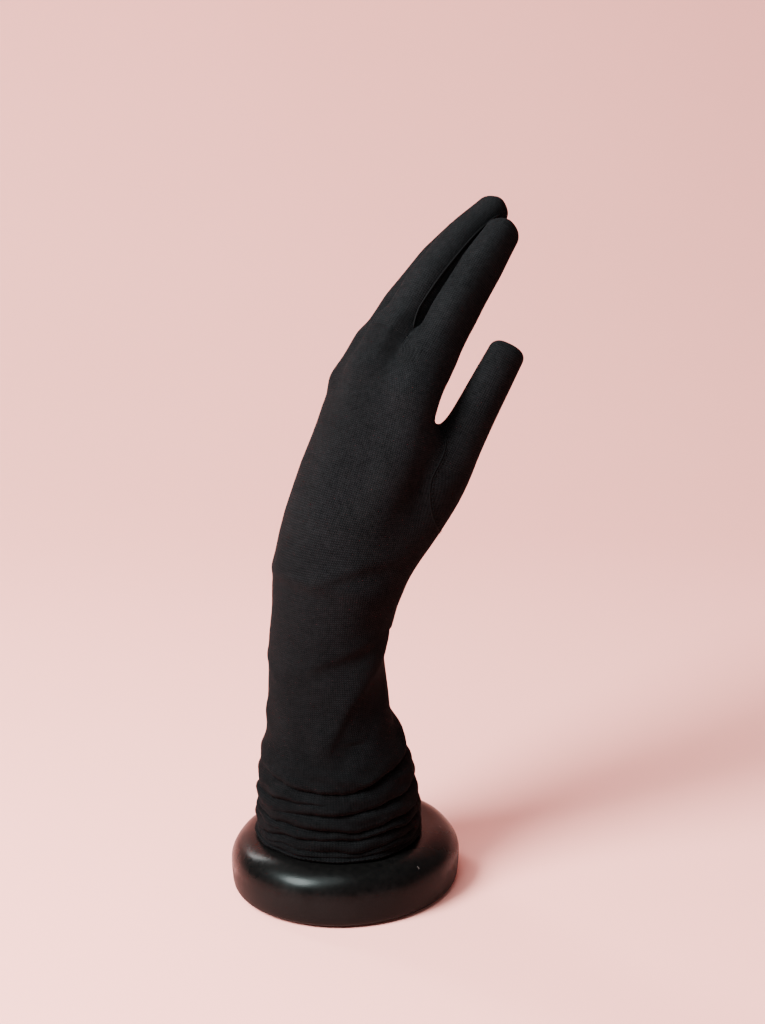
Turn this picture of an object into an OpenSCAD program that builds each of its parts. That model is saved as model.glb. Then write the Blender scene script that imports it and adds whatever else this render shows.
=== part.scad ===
// Long stretch-knit opera glove for a left hand, pulled over a jointed display
// hand on a round foot. +Z is up, +X is the thumb side, +Y is the palm side,
// and the origin is the centre of the foot's underside. Millimetres.

/* [Foot] */
// Radius of the foot's round ends
foot_r = 48.2; // [42:0.2:52]
// Distance between the centres of the foot's two round ends
foot_oval = 7.2; // [4:0.2:14]
// Height of the foot
foot_h = 24; // [20:1:28]
// Radius of the foot's upper edge
foot_edge = 11.5; // [5:0.5:11.5]
// Turn of the foot's long axis about Z, degrees
foot_turn = 109; // [60:1:130]

/* [Gathered cuff] */
// Number of horizontal gathers pushed down onto the foot
cuff_folds = 7; // [5:1:9]
// Outside radius of the lowest gathers
cuff_r = 35.4; // [33:0.2:36]
// Height of the gathered stretch
cuff_h = 46.8; // [42:0.2:46.8]

/* [Fabric] */
// Thickness of the modelled fabric shell
cloth = 1.0; // [0.8:0.1:1.4]
// Gap between the fabric and the form inside it
slip = 0.15; // [0.1:0.05:0.3]

/* [Fingers] */
// Shell half width at the root of index, middle, ring and little finger
root_w = [8.1, 7.9, 7.6, 6.8];
// Shell half depth at the root of index, middle, ring and little finger
root_d = [9.9, 9.6, 9.2, 8.2];
// Radius of the knuckle hinge pins
pin_r = 1.5; // [1.2:0.1:1.6]
// Distance from a hinge to the nearest edge of the fabric shells
hinge_gap = 4.6; // [4.5:0.1:6]

/* [Hidden] */
$fn = 48;
black = "#17171a";
form_col = "#c9b9a6";
steel = "#9aa0a6";

function unit(v) = v / norm(v);
function mix(a, b, t) = a + (b - a) * t;
function dirv(a, s = 0) = unit([s, sin(a), cos(a)]);
function nrmv(a) = [0, cos(a), -sin(a)];

// Knuckle points of the four fingers, and the finger line's tilt from the
// vertical along each phalanx
MCP = [[25.8, 14, 215.5], [8, 10, 223], [-9, 12.2, 215], [-24, 17, 204.6]];
TILT = [[38, 41.5, 44], [39, 49, 58], [42.5, 46.5, 51], [41.5, 41, 40]];
SIDE = [-0.035, 0, 0.025, 0.035];
LEN = [[40, 24, 15.5], [43, 27, 18.5], [40, 25.5, 16.5], [32, 18.5, 14.5]];
WEB = [24, 24, 23.5, 20];
// Half widths and depths of the shell at hinge, middle joint, end joint and tip
WID = [[root_w[0], 7.9, 7.5, 6.6], [root_w[1], 7.8, 7.3, 6.3], [root_w[2], 7.4, 6.9, 6.1], [root_w[3], 6.5, 6.1, 5.4]];
DEP = [[root_d[0], 9.3, 8.5, 7.0], [root_d[1], 8.9, 8.0, 6.4], [root_d[2], 8.6, 7.8, 6.3], [root_d[3], 7.7, 7.1, 5.8]];

function hinge(i) = MCP[i] + WEB[i] * dirv(TILT[i][0], SIDE[i]);
function pip(i) = MCP[i] + LEN[i][0] * dirv(TILT[i][0], SIDE[i]);
function dip(i) = pip(i) + LEN[i][1] * dirv(TILT[i][1], SIDE[i]);
function tip(i) = dip(i) + LEN[i][2] * dirv(TILT[i][2], SIDE[i]);

// Points of a slightly squared oval at the angles A: half width w along X and half
// depth d along the palm normal for that tilt
function arc(c, a, w, d, A) = [for (t = A) c + [w * sign(cos(t)) * pow(abs(cos(t)), 0.86), 0, 0] + nrmv(a) * d * sign(sin(t)) * pow(abs(sin(t)), 0.86)];
function ring(c, a, w, d, n = 20) = arc(c, a, w, d, [for (k = [0:n - 1]) 360 * k / n]);

// Stations of a finger from its hinge outwards: [point, tilt, half width, half depth]
function finger_stations(i, start, grow) = let (w = WID[i], d = DEP[i], t = TILT[i], h = hinge(i), p = pip(i), q = dip(i), e = tip(i))
  [[h + start * dirv(t[0], SIDE[i]), t[0], mix(w[0], w[1], start / 18) + grow, mix(d[0], d[1], start / 18) + grow],
   [mix(p, h, 0.25), t[0], w[1] + grow, d[1] + 0.1 + grow],
   [mix(p, q, 0.15), mix(t[0], t[1], 0.6), w[1] + grow, d[1] + grow],
   [mix(p, q, 0.8), mix(t[1], t[2], 0.3), w[2] + grow, d[2] + 0.1 + grow],
   [mix(q, e, 0.35), mix(t[1], t[2], 0.8), mix(w[2], w[3], 0.35) + grow, mix(d[2], d[3], 0.3) + grow],
   [e, t[2], w[3] + grow, d[3] + grow],
   [e + (d[3] + grow) * 0.5 * dirv(t[2], SIDE[i]), t[2], (w[3] + grow) * 0.87, (d[3] + grow) * 0.87],
   [e + (d[3] + grow) * 0.85 * dirv(t[2], SIDE[i]), t[2], (w[3] + grow) * 0.53, (d[3] + grow) * 0.53],
   [e + (d[3] + grow) * 1.0 * dirv(t[2], SIDE[i]), t[2], (w[3] + grow) * 0.12, (d[3] + grow) * 0.12]];
function rings_of(st, n = 20) = [for (s = st) ring(s[0], s[1], s[2], s[3], n)];

// Thumb: hinge, end joint and tip, with its tilt and sideways slope
TH_K = [32.7, 33.4, 193.4];
TH_A = 29;
TH_S = 0.155;
TH_L = 43;
function thumb_stations(start, grow) = let (u = dirv(TH_A, TH_S))
  [[TH_K + start * u, TH_A, 8.9 + grow, 9.2 + grow],
   [TH_K + 16 * u, TH_A, 8.3 + grow, 8.6 + grow],
   [TH_K + 30 * u, TH_A, 7.9 + grow, 8.0 + grow],
   [TH_K + (TH_L - 1) * u, TH_A, 7.5 + grow, 7.3 + grow],
   [TH_K + (TH_L + 2 + grow * 0.5) * u, TH_A, 6.6 + grow, 6.2 + grow],
   [TH_K + (TH_L + 4.2 + grow) * u, TH_A, 4.6 + grow, 4.2 + grow]];

// Palm: a wide oval whose middle line and thickness follow the four knuckles.
// t runs from 0 at the wrist through 1 at the knuckles to 2 at the finger roots.
WRIST = [0, -7.2, 138];
// Stations across the hand as shares of its half width, closest where the upper edge steps
ACROSS = [1, 0.965, 0.86, 0.7, 0.53, 0.48, 0.25, 0.015, -0.04, -0.28, -0.465, -0.51, -0.69, -0.85, -0.96, -1];
NA = len(ACROSS);
function col(x, k) = lookup(x, concat([[-35, MCP[3][k + 1] + [3, -4][k]]], [for (i = [3:-1:0]) [MCP[i][0], MCP[i][k + 1]]]));
// Extra width of the palm on the thumb's side
function flare(t) = lookup(t, [[0.1, 0], [0.4, 1.5], [0.7, 4], [1, 3.2], [1.4, 1.6], [2, 0]]);
function edge(x, k) = lookup(x, [[-33, hinge(3)[k]], [-16.45, hinge(3)[k]], [-15.1, hinge(2)[k]], [-1.3, hinge(2)[k]],
  [0.45, hinge(1)[k]], [15.6, hinge(1)[k]], [17.1, hinge(0)[k]], [36, hinge(0)[k]]]);
function palm_mid(x, t) = t <= 1
  ? [x, mix(WRIST[1], col(x, 0), t), mix(WRIST[2], col(x, 1), t)]
  : let (g = hinge_gap / 24, s = (t - 1) * (1 - g)) [x, mix(col(x, 0), edge(x, 1), s), mix(col(x, 1), edge(x, 2), s)];
function palm_a(t) = lookup(t, [[0, 8], [0.6, 14], [1, 26], [1.4, 36], [2, 40]]);
function palm_w(t) = lookup(t, [[0, 28], [0.3, 30], [0.6, 33], [1, 34.5], [1.4, 34], [2, 32.4]]);
function palm_d(t) = lookup(t, [[0, 22.5], [0.3, 20.3], [0.6, 16.4], [1, 12], [1.4, 10.6], [2, 9.6]]);
function palm_m(t) = lookup(t, [[0, 2], [0.6, 2.3], [1, 2.8], [2, 3.4]]);
// Change of the palm's half width on the little finger's side, and extra depth of the back of the hand
function ulnar(t) = lookup(t, [[0, 0], [0.3, 0.6], [0.6, 0.4], [0.85, -2.2], [1, -3.6], [1.4, -3.2], [2, -1]]);
function back_up(t) = lookup(t, [[0, 0.6], [0.3, 1.4], [0.6, 1.2], [0.85, 0.2], [1, 0], [2, 0]]);
// Offsets of the front (s = 1) or back (s = -1) of an oval of exponent m
function bow(u, m) = pow(max(0, 1 - pow(abs(u), m)), 1 / m);
function palm_ring(t, grow) = let (w = palm_w(t) + grow, d = palm_d(t) + grow, m = palm_m(t), a = nrmv(palm_a(t)))
  concat([for (u = ACROSS) palm_mid((w + (u > 0 ? flare(t) : ulnar(t))) * u, t) + a * d * bow(u, m)],
    [for (k = [NA - 2:-1:1]) let (u = ACROSS[k]) palm_mid((w + (u > 0 ? flare(t) : ulnar(t))) * u, t) - a * (d + back_up(t)) * (u < 0 ? 1 - 0.4 * min(1, t) * u * u : 1) * bow(u, m)]);
PALM_T = [0.12, 0.3, 0.6, 0.85, 1, 1.25, 1.6, 2];

// Forearm: [z, middle x, middle y, half width, half depth]
ARM = [[73.2, -0.8, -6.9, 28.2, 26.8], [84, -1.5, -7.7, 26.8, 24.8], [97, -1.9, -8.2, 26.4, 23.7], [110, -1.9, -8.2, 26, 22.7], [124, -0.8, -7, 26.8, 23], [134, 0, -6.6, 27.6, 22.6]];
function arm_ring(s, grow) = let (w = s[3] + grow, d = s[4] + grow)
  concat([for (u = ACROSS) [s[1] + w * u, s[2] + d * bow(u, 2), s[0]]], [for (k = [NA - 2:-1:1]) let (u = ACROSS[k]) [s[1] + w * u, s[2] - d * bow(u, 2), s[0]]]);
function body_rings(grow) = concat([for (s = ARM) arm_ring(s, grow)], [for (t = PALM_T) palm_ring(t, grow)]);

// Thumb root: the ball of the thumb, from the wrist to just under the thumb's hinge
function root_stations(grow) = let (u = dirv(TH_A, TH_S))
  [[[13, 1.5, 131], 20, 11.5 + grow, 11.5 + grow], [[17, 6, 146], 30, 12.6 + grow, 12.6 + grow], [[23.5, 16, 162], 32, 12.2 + grow, 12.2 + grow], [[29.2, 25.3, 177], 29, 11 + grow, 11 + grow],
   [TH_K - hinge_gap * u, TH_A, 9.7 + grow, 9.8 + grow]];

function wall(m, n) = [for (j = [0:m - 2]) for (k = [0:n - 1]) let (a = j * n + k, b = j * n + (k + 1) % n, c = b + n, d = a + n)
  each [[a, c, b], [a, d, c]]];
// End of a ring of n points starting at point b, laced from side to side
function lace(n, b) = concat([[b, b + 1, b + n - 1]], [for (k = [1:n / 2 - 2]) each [[b + k, b + k + 1, b + n - k - 1], [b + k, b + n - k - 1, b + n - k]]],
  [[b + n / 2 - 1, b + n / 2, b + n / 2 + 1]]);
// Solid through a list of rings, both ends closed
module loft(rings) {
  m = len(rings); n = len(rings[0]);
  polyhedron(points = [for (r = rings) each r], faces = concat(wall(m, n), lace(n, 0), [for (f = lace(n, (m - 1) * n)) [f[2], f[1], f[0]]]));
}
// Strip of a shell between matching arcs of its outer and inner faces
module strip(outer, inner) {
  m = len(outer); c = len(outer[0]); q = 2 * c;
  polyhedron(points = [for (j = [0:m - 1]) each concat(outer[j], [for (k = [c - 1:-1:0]) inner[j][k]])], faces = concat(wall(m, q),
    [for (k = [0:c - 2]) each [[k, k + 1, q - 1 - k], [k + 1, q - 2 - k, q - 1 - k]]],
    [for (k = [0:c - 2]) let (b = (m - 1) * q) each [[b + k + 1, b + k, b + q - 1 - k], [b + k + 1, b + q - 1 - k, b + q - 2 - k]]]));
}
// Hands its children over as one closed mesh
module as_mesh() { resize([0, 0, 0]) union() children(); }

// ---- Foot and fixings ----
module foot_profile() {
  translate([0, 1]) square([foot_r - 2, foot_h - 1 - foot_edge]);
  translate([0, 3]) square([foot_r, foot_h - 3 - foot_edge]);
  translate([0, 1]) square([foot_r - foot_edge, foot_h - 1]);
  intersection() { translate([foot_r - foot_edge, foot_h - foot_edge]) circle(foot_edge); translate([foot_r - foot_edge, foot_h - foot_edge]) square(foot_edge); }
  polygon([[foot_r - 2, 1], [foot_r, 3], [foot_r - 2, 3]]);
}
module foot_body() {
  for (s = [-1, 1]) translate([s * foot_oval / 2, 0, 0]) rotate_extrude($fn = 96) foot_profile();
  rotate([90, 0, 90]) linear_extrude(foot_oval, center = true) { foot_profile(); mirror([1, 0]) foot_profile(); }
}
module foot() {
  color(black) difference() {
    rotate(foot_turn) foot_body();
    translate([0, 0, -1]) cylinder(r = 38, h = 3, $fn = 96);
    cylinder(r = 32, h = 9, $fn = 96);
    cylinder(r = 8.5, h = 14);
    cylinder(r = 4.2, h = foot_h + 1);
  }
}
module foot_pad() { color("#3a3a3d") cylinder(r = 37.8, h = 2, $fn = 96); }
module ballast_plate() { color(steel) translate([0, 0, 2.2]) difference() { cylinder(r = 31.7, h = 6.6, $fn = 96); translate([0, 0, -1]) cylinder(r = 8.7, h = 9); } }
module fixing_bolt() { color(steel) { translate([0, 0, 7.2]) cylinder(r = 6.4, h = 5, $fn = 6); translate([0, 0, 12.2]) cylinder(r = 4, h = 29.8); } }
module washer() { color(steel) translate([0, 0, 12.3]) difference() { cylinder(r = 8.2, h = 1.6); translate([0, 0, -1]) cylinder(r = 4.3, h = 4); } }
module threaded_insert() { color("#b08d4a") translate([0, 0, foot_h + 0.4]) difference() { cylinder(r = 6.5, h = 19); translate([0, 0, -1]) cylinder(r = 4.05, h = 30); } }

// ---- Display form ----
module arm_form() {
  g = -cloth - slip;
  color(form_col) difference() {
    as_mesh() difference() {
      union() {
        loft(body_rings(g));
        loft(rings_of(root_stations(g), 20));
        loft([for (s = [[foot_h, 1.3, -5.6, 25, 25], [48, 0.3, -5.6, 25, 25], [72.6, -0.8, -5.8, 25, 24.8], [82, -1.4, -7, 24, 23]]) arm_ring(s, 0)]);
      }
      for (i = [0:4]) at_hinge(i) translate([-1.6, -3.1, -14.1]) cube([3.2, 6.2, 12]);
      at_hinge(3) translate([-6, -5, -3.6]) cube([12, 10, 12]);
    }
    translate([0, 0, foot_h - 1]) cylinder(r = 6.6, h = 21);
  }
}
// Frame at a hinge: X stays, and Z runs along the finger
module at_hinge(i) { translate(i < 4 ? hinge(i) : TH_K) rotate([-(i < 4 ? TILT[i][0] : TH_A), 0, 0]) children(); }
module tongue(i) {
  at_hinge(i) difference() {
    union() { rotate([0, 90, 0]) cylinder(r = 3, h = 3, center = true); translate([-1.5, -3, -14]) cube([3, 6, 14]); }
    rotate([0, 90, 0]) cylinder(r = pin_r + 0.05, h = 10, center = true);
  }
}
module knuckle_tongues() { color(steel) for (i = [0:4]) tongue(i); }
module fork(i) {
  e = i == 3 ? 4.1 : 4.6;
  at_hinge(i) difference() {
    union() {
      for (s = [-1, 1]) translate([s * (e + 1.9) / 2, 0, 0]) { rotate([0, 90, 0]) cylinder(r = 3, h = e - 1.9, center = true); translate([-(e - 1.9) / 2, -3, 0]) cube([e - 1.9, 6, 4.5]); }
      translate([-e, -3, 3.4]) cube([2 * e, 6, 1.1]);
      translate([0, 0, 3.5]) cylinder(r = 2.5, h = 10);
    }
    rotate([0, 90, 0]) cylinder(r = pin_r, h = 20, center = true);
  }
}
module index_fork() { color(steel) fork(0); }
module middle_fork() { color(steel) fork(1); }
module ring_fork() { color(steel) fork(2); }
module little_fork() { color(steel) fork(3); }
module thumb_fork() { color(steel) fork(4); }
module pin(i) { at_hinge(i) rotate([0, 90, 0]) cylinder(r = pin_r, h = i == 3 ? 8.6 : 9.6, center = true); }
module index_pin() { color(steel) pin(0); }
module middle_pin() { color(steel) pin(1); }
module ring_pin() { color(steel) pin(2); }
module little_pin() { color(steel) pin(3); }
module thumb_pin() { color(steel) pin(4); }

module finger_form(i) {
  color(form_col) difference() {
    as_mesh() loft(rings_of(finger_stations(i, 4.7, -cloth - slip)));
    at_hinge(i) cylinder(r = 2.6, h = 13.6);
  }
}
module index_form() { finger_form(0); }
module middle_form() { finger_form(1); }
module ring_form() { finger_form(2); }
module little_form() { finger_form(3); }
module thumb_form() { color(form_col) difference() { as_mesh() loft(rings_of(thumb_stations(4.7, -cloth - slip))); at_hinge(4) cylinder(r = 2.6, h = 13.6); } }

// ---- Glove ----
module trank() {
  color(black) as_mesh() difference() {
    tube(body_rings(0), body_rings(-cloth), open_top = true);
    loft(rings_of(root_stations(-0.1), 26));
  }
}
module thumb_gusset() {
  color(black) as_mesh() difference() {
    loft(rings_of(root_stations(0), 22));
    loft(rings_of(concat([for (k = [0:3]) root_stations(-cloth)[k]], [[TH_K, TH_A, 9.6 - cloth, 9.8 - cloth]]), 22));
    loft(body_rings(0.2));
  }
}
module cuff_axis() { translate([1.4, -5.6, foot_h + 0.4]) rotate([0, -2.6, 0]) children(); }
module gathered_cuff() {
  pitch = (cuff_h - 5.4) / cuff_folds;
  color(black) cuff_axis() difference() {
    rotate_extrude($fn = 72) {
      for (k = [0:cuff_folds - 1]) let (z = 5.2 + (k + 0.5) * pitch, r = cuff_r - lookup(z / cuff_h, [[0.3, 0], [0.5, 1.9], [0.75, 3.6], [0.9, 6.4], [1, 8]])) translate([r - 3.7, z]) circle(3.7, $fn = 32);
      polygon([[20, 4.8], [cuff_r - 3, 4.8], [cuff_r - 4.2, cuff_h * 0.6], [cuff_r - 8.2, cuff_h], [20, cuff_h]]);
    }
    translate([0, 0, -1]) cylinder(r1 = 26.2, r2 = 25.8, h = 60, $fn = 96);
  }
}
module hem_band() {
  color(black) difference() {
    cuff_axis() rotate_extrude($fn = 72) { translate([cuff_r - 2.3, 2.4]) circle(2.2, $fn = 32); translate([27, 0.9]) square([cuff_r - 29.4, 3]); }
    translate([0, 0, foot_h - 10]) cylinder(r = 60, h = 10.05);
  }
}
// Long seam on the outer edge of the hand and sleeve
module ulnar_seam() {
  color("#26262a") as_mesh() difference() {
    intersection() { loft(body_rings(0.5)); translate([-60, -8.4, 76]) rotate([-3, 0, 0]) cube([60, 1.2, 70]); }
    loft(body_rings(0.05));
  }
}
// Short stitches round the foot of the thumb, where the gusset meets the hand
module thumb_seam() {
  color("#26262a") for (k = [0:8]) let (t = k / 8, p = mix([27.5, 12.6, 161], [31.8, 19.6, 181], t)) translate(p + [6.2, 0, 0]) rotate([-28, 8, 0]) cylinder(r = 0.35, h = 1.5, center = true, $fn = 16);
}
// Finger stall: a tube along the stations with its tip closed. Between ring 0 and
// ring 4 the segments listed in slots are left out, for the fourchettes.
module tube(o, n, slots = [], open_top = false) {
  m = len(o); c = len(o[0]); B = m * c;
  open = function(k) len([for (s = slots) if (s == k) s]) > 0;
  q = function(a, b, c2, d) [[a, b, c2], [a, c2, d]];
  polyhedron(points = concat([for (r = o) each r], [for (r = n) each r]), faces = concat(
    [for (j = [0:m - 2]) for (k = [0:c - 1]) if (j > 3 || !open(k)) let (a = j * c + k, b = j * c + (k + 1) % c) each q(a, a + c, b + c, b)],
    [for (j = [0:m - 2]) for (k = [0:c - 1]) if (j > 3 || !open(k)) let (a = B + j * c + k, b = B + j * c + (k + 1) % c) each q(a, b, b + c, a + c)],
    [for (k = [0:c - 1]) let (j = open(k) ? 4 * c : 0, a = j + k, b = j + (k + 1) % c) each q(a, b, B + b, B + a)],
    [for (k = [0:c - 1]) if (!open(k) && open((k + c - 1) % c)) for (j = [0:3]) let (a = j * c + k) each q(a, B + a, B + a + c, a + c)],
    [for (k = [0:c - 1]) if (!open(k) && open((k + 1) % c)) for (j = [0:3]) let (a = j * c + (k + 1) % c) each q(a, a + c, B + a + c, B + a)],
    open_top ? [for (k = [0:c - 1]) let (a = (m - 1) * c + k, b = (m - 1) * c + (k + 1) % c) each q(b, a, B + a, B + b)]
      : concat([for (f = lace(c, (m - 1) * c)) [f[2], f[1], f[0]]], lace(c, B + (m - 1) * c))));
}
SLOT_R = [17, 18, 19, 0, 1, 2];
SLOT_L = [7, 8, 9, 10, 11, 12];
module stall(i, sides) {
  st = finger_stations(i, hinge_gap, 0); sn = finger_stations(i, hinge_gap, -cloth);
  color(black) tube(rings_of(st), rings_of(sn), concat([for (s = sides) each (s > 0 ? SLOT_R : SLOT_L)]));
}
// Strip between two fingers, standing in the stall's slot with a hair of room round it
module fourchette(i, side) {
  st = finger_stations(i, hinge_gap, 0); sn = finger_stations(i, hinge_gap, -cloth);
  A = [for (k = [-2.95, -2, -1, 0, 1, 2, 2.95]) (side > 0 ? 0 : 180) + 18 * k];
  cut = function(s) [for (k = [0:4]) let (p = k < 4 ? s[k] : [mix(s[4][0], s[3][0], 0.02), mix(s[4][1], s[3][1], 0.02), mix(s[4][2], s[3][2], 0.02), mix(s[4][3], s[3][3], 0.02)]) arc(p[0], p[1], p[2], p[3], A)];
  strip(cut(st), cut(sn));
}
module index_stall() { stall(0, [-1]); }
module middle_stall() { stall(1, [-1, 1]); }
module ring_stall() { stall(2, [-1, 1]); }
module little_stall() { stall(3, [1]); }
module thumb_stall() { color(black) tube(rings_of(thumb_stations(hinge_gap, 0)), rings_of(thumb_stations(hinge_gap, -cloth))); }
module index_fourchette() { color("#1d1d20") fourchette(0, -1); }
module middle_fourchettes() { color("#1d1d20") { fourchette(1, -1); fourchette(1, 1); } }
module ring_fourchettes() { color("#1d1d20") { fourchette(2, -1); fourchette(2, 1); } }
module little_fourchette() { color("#1d1d20") fourchette(3, 1); }

foot();
foot_pad();
ballast_plate();
fixing_bolt();
washer();
threaded_insert();
arm_form();
knuckle_tongues();
trank();
gathered_cuff();
hem_band();
ulnar_seam();
thumb_gusset();
thumb_seam();
index_form();
middle_form();
ring_form();
little_form();
thumb_form();
index_fork();
middle_fork();
ring_fork();
little_fork();
thumb_fork();
index_pin();
middle_pin();
ring_pin();
little_pin();
thumb_pin();
index_stall();
middle_stall();
ring_stall();
little_stall();
thumb_stall();
index_fourchette();
middle_fourchettes();
ring_fourchettes();
little_fourchette();
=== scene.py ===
import math

import bpy
import numpy as np
from mathutils import Matrix, Vector


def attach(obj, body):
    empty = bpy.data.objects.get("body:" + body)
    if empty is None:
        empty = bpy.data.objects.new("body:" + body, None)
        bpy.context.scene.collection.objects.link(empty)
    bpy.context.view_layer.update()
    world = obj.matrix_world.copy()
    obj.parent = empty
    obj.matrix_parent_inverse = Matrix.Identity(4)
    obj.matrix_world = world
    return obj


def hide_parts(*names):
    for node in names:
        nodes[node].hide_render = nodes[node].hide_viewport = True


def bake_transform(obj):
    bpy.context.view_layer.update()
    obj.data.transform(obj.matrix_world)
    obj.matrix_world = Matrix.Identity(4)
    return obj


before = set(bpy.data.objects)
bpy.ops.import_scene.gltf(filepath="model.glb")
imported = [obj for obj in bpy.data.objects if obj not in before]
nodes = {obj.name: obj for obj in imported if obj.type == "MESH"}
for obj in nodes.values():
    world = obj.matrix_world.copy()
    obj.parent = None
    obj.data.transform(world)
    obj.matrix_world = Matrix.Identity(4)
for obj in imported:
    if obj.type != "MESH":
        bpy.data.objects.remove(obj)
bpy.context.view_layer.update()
MM = 0.001
rad = math.radians

# ------------------------------------------------------------------ skeleton
# The same numbers as part.scad, in millimetres: +X thumb side, +Y palm side, +Z up.


def unit(v):
    v = np.asarray(v, float)
    return v / np.linalg.norm(v)


def dirv(a, s=0.0):
    return unit([s, math.sin(rad(a)), math.cos(rad(a))])


FINGERS = ["index", "middle", "ring", "little"]
MCP = [[25.8, 14, 215.5], [8, 10, 223], [-9, 12.2, 215], [-24, 17, 204.6]]
TILT = [[38, 41.5, 44], [39, 49, 58], [42.5, 46.5, 51], [41.5, 41, 40]]
SIDE = [-0.035, 0, 0.025, 0.035]
LEN = [[40, 24, 15.5], [43, 27, 18.5], [40, 25.5, 16.5], [32, 18.5, 14.5]]
WEB = [24, 24, 23.5, 20]
WID = [[8.4, 8.2, 7.9, 7.5, 6.6], [8.2, 8.3, 8.3, 7.7, 6.5], [7.6, 7.6, 7.4, 6.9, 6.2], [3.8, 6.3, 6.5, 6.1, 5.5]]
DEP = [[9.4, 9.9, 9.3, 8.5, 7.0], [9.0, 9.9, 9.4, 8.4, 6.6], [8.8, 9.7, 9.5, 8.7, 7.1], [3.8, 7.6, 8.2, 7.9, 6.7]]
TH_K = np.array([32.7, 33.4, 193.4])
TH_DIR = dirv(29, 0.155)

ARM = np.array([
    (20, 1.0, -4.8, 34.8, 34.8), (30, 1.2, -4.6, 35.2, 35.2), (39, 1.2, -4.6, 35.0, 35.0), (45, 0.8, -5.1, 34.2, 34.2),
    (50, 0.6, -5.3, 33.4, 33.4), (56, 0.5, -5.4, 32.6, 32.4), (61, 0.4, -5.5, 31.5, 31.1), (67, -0.1, -6.1, 29.6, 28.8),
    (73.2, -0.8, -6.9, 28.1, 26.9), (84, -1.5, -7.7, 26.8, 24.9), (97, -1.9, -8.2, 26.4, 23.8), (110, -1.9, -8.2, 26.0, 22.9),
    (124, -0.8, -7.0, 26.8, 23.2), (134, 0.0, -6.6, 27.6, 22.8), (150, 0.0, -6.0, 27.6, 21.5)])


def smooth_table(t, step=1.0, sigma=2.2):
    z = np.arange(t[0, 0], t[-1, 0] + step, step)
    out = [z]
    k = np.exp(-0.5 * (np.arange(-9, 10) * step / sigma) ** 2)
    k /= k.sum()
    for c in range(1, t.shape[1]):
        v = np.interp(z, t[:, 0], t[:, c])
        out.append(np.convolve(np.pad(v, 9, mode="reflect", reflect_type="odd"), k, mode="valid"))
    return np.stack(out, 1)


ARM_S = smooth_table(ARM)


def arm_at(z):
    return [np.interp(z, ARM_S[:, 0], ARM_S[:, k]) for k in (1, 2, 3, 4)]


# ------------------------------------------------------------------ distance field
def smin(a, b, k):
    h = np.clip(0.5 + 0.5 * (b - a) / k, 0, 1)
    return b * (1 - h) + a * h - k * h * (1 - h)


def cone(P, a, b, ra, rb):
    a, b = np.asarray(a, float), np.asarray(b, float)
    ab = b - a
    t = np.clip((P - a) @ ab / (ab @ ab), 0, 1)
    return np.linalg.norm(P - a - t[:, None] * ab, axis=1) - (ra + (rb - ra) * t)


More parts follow.
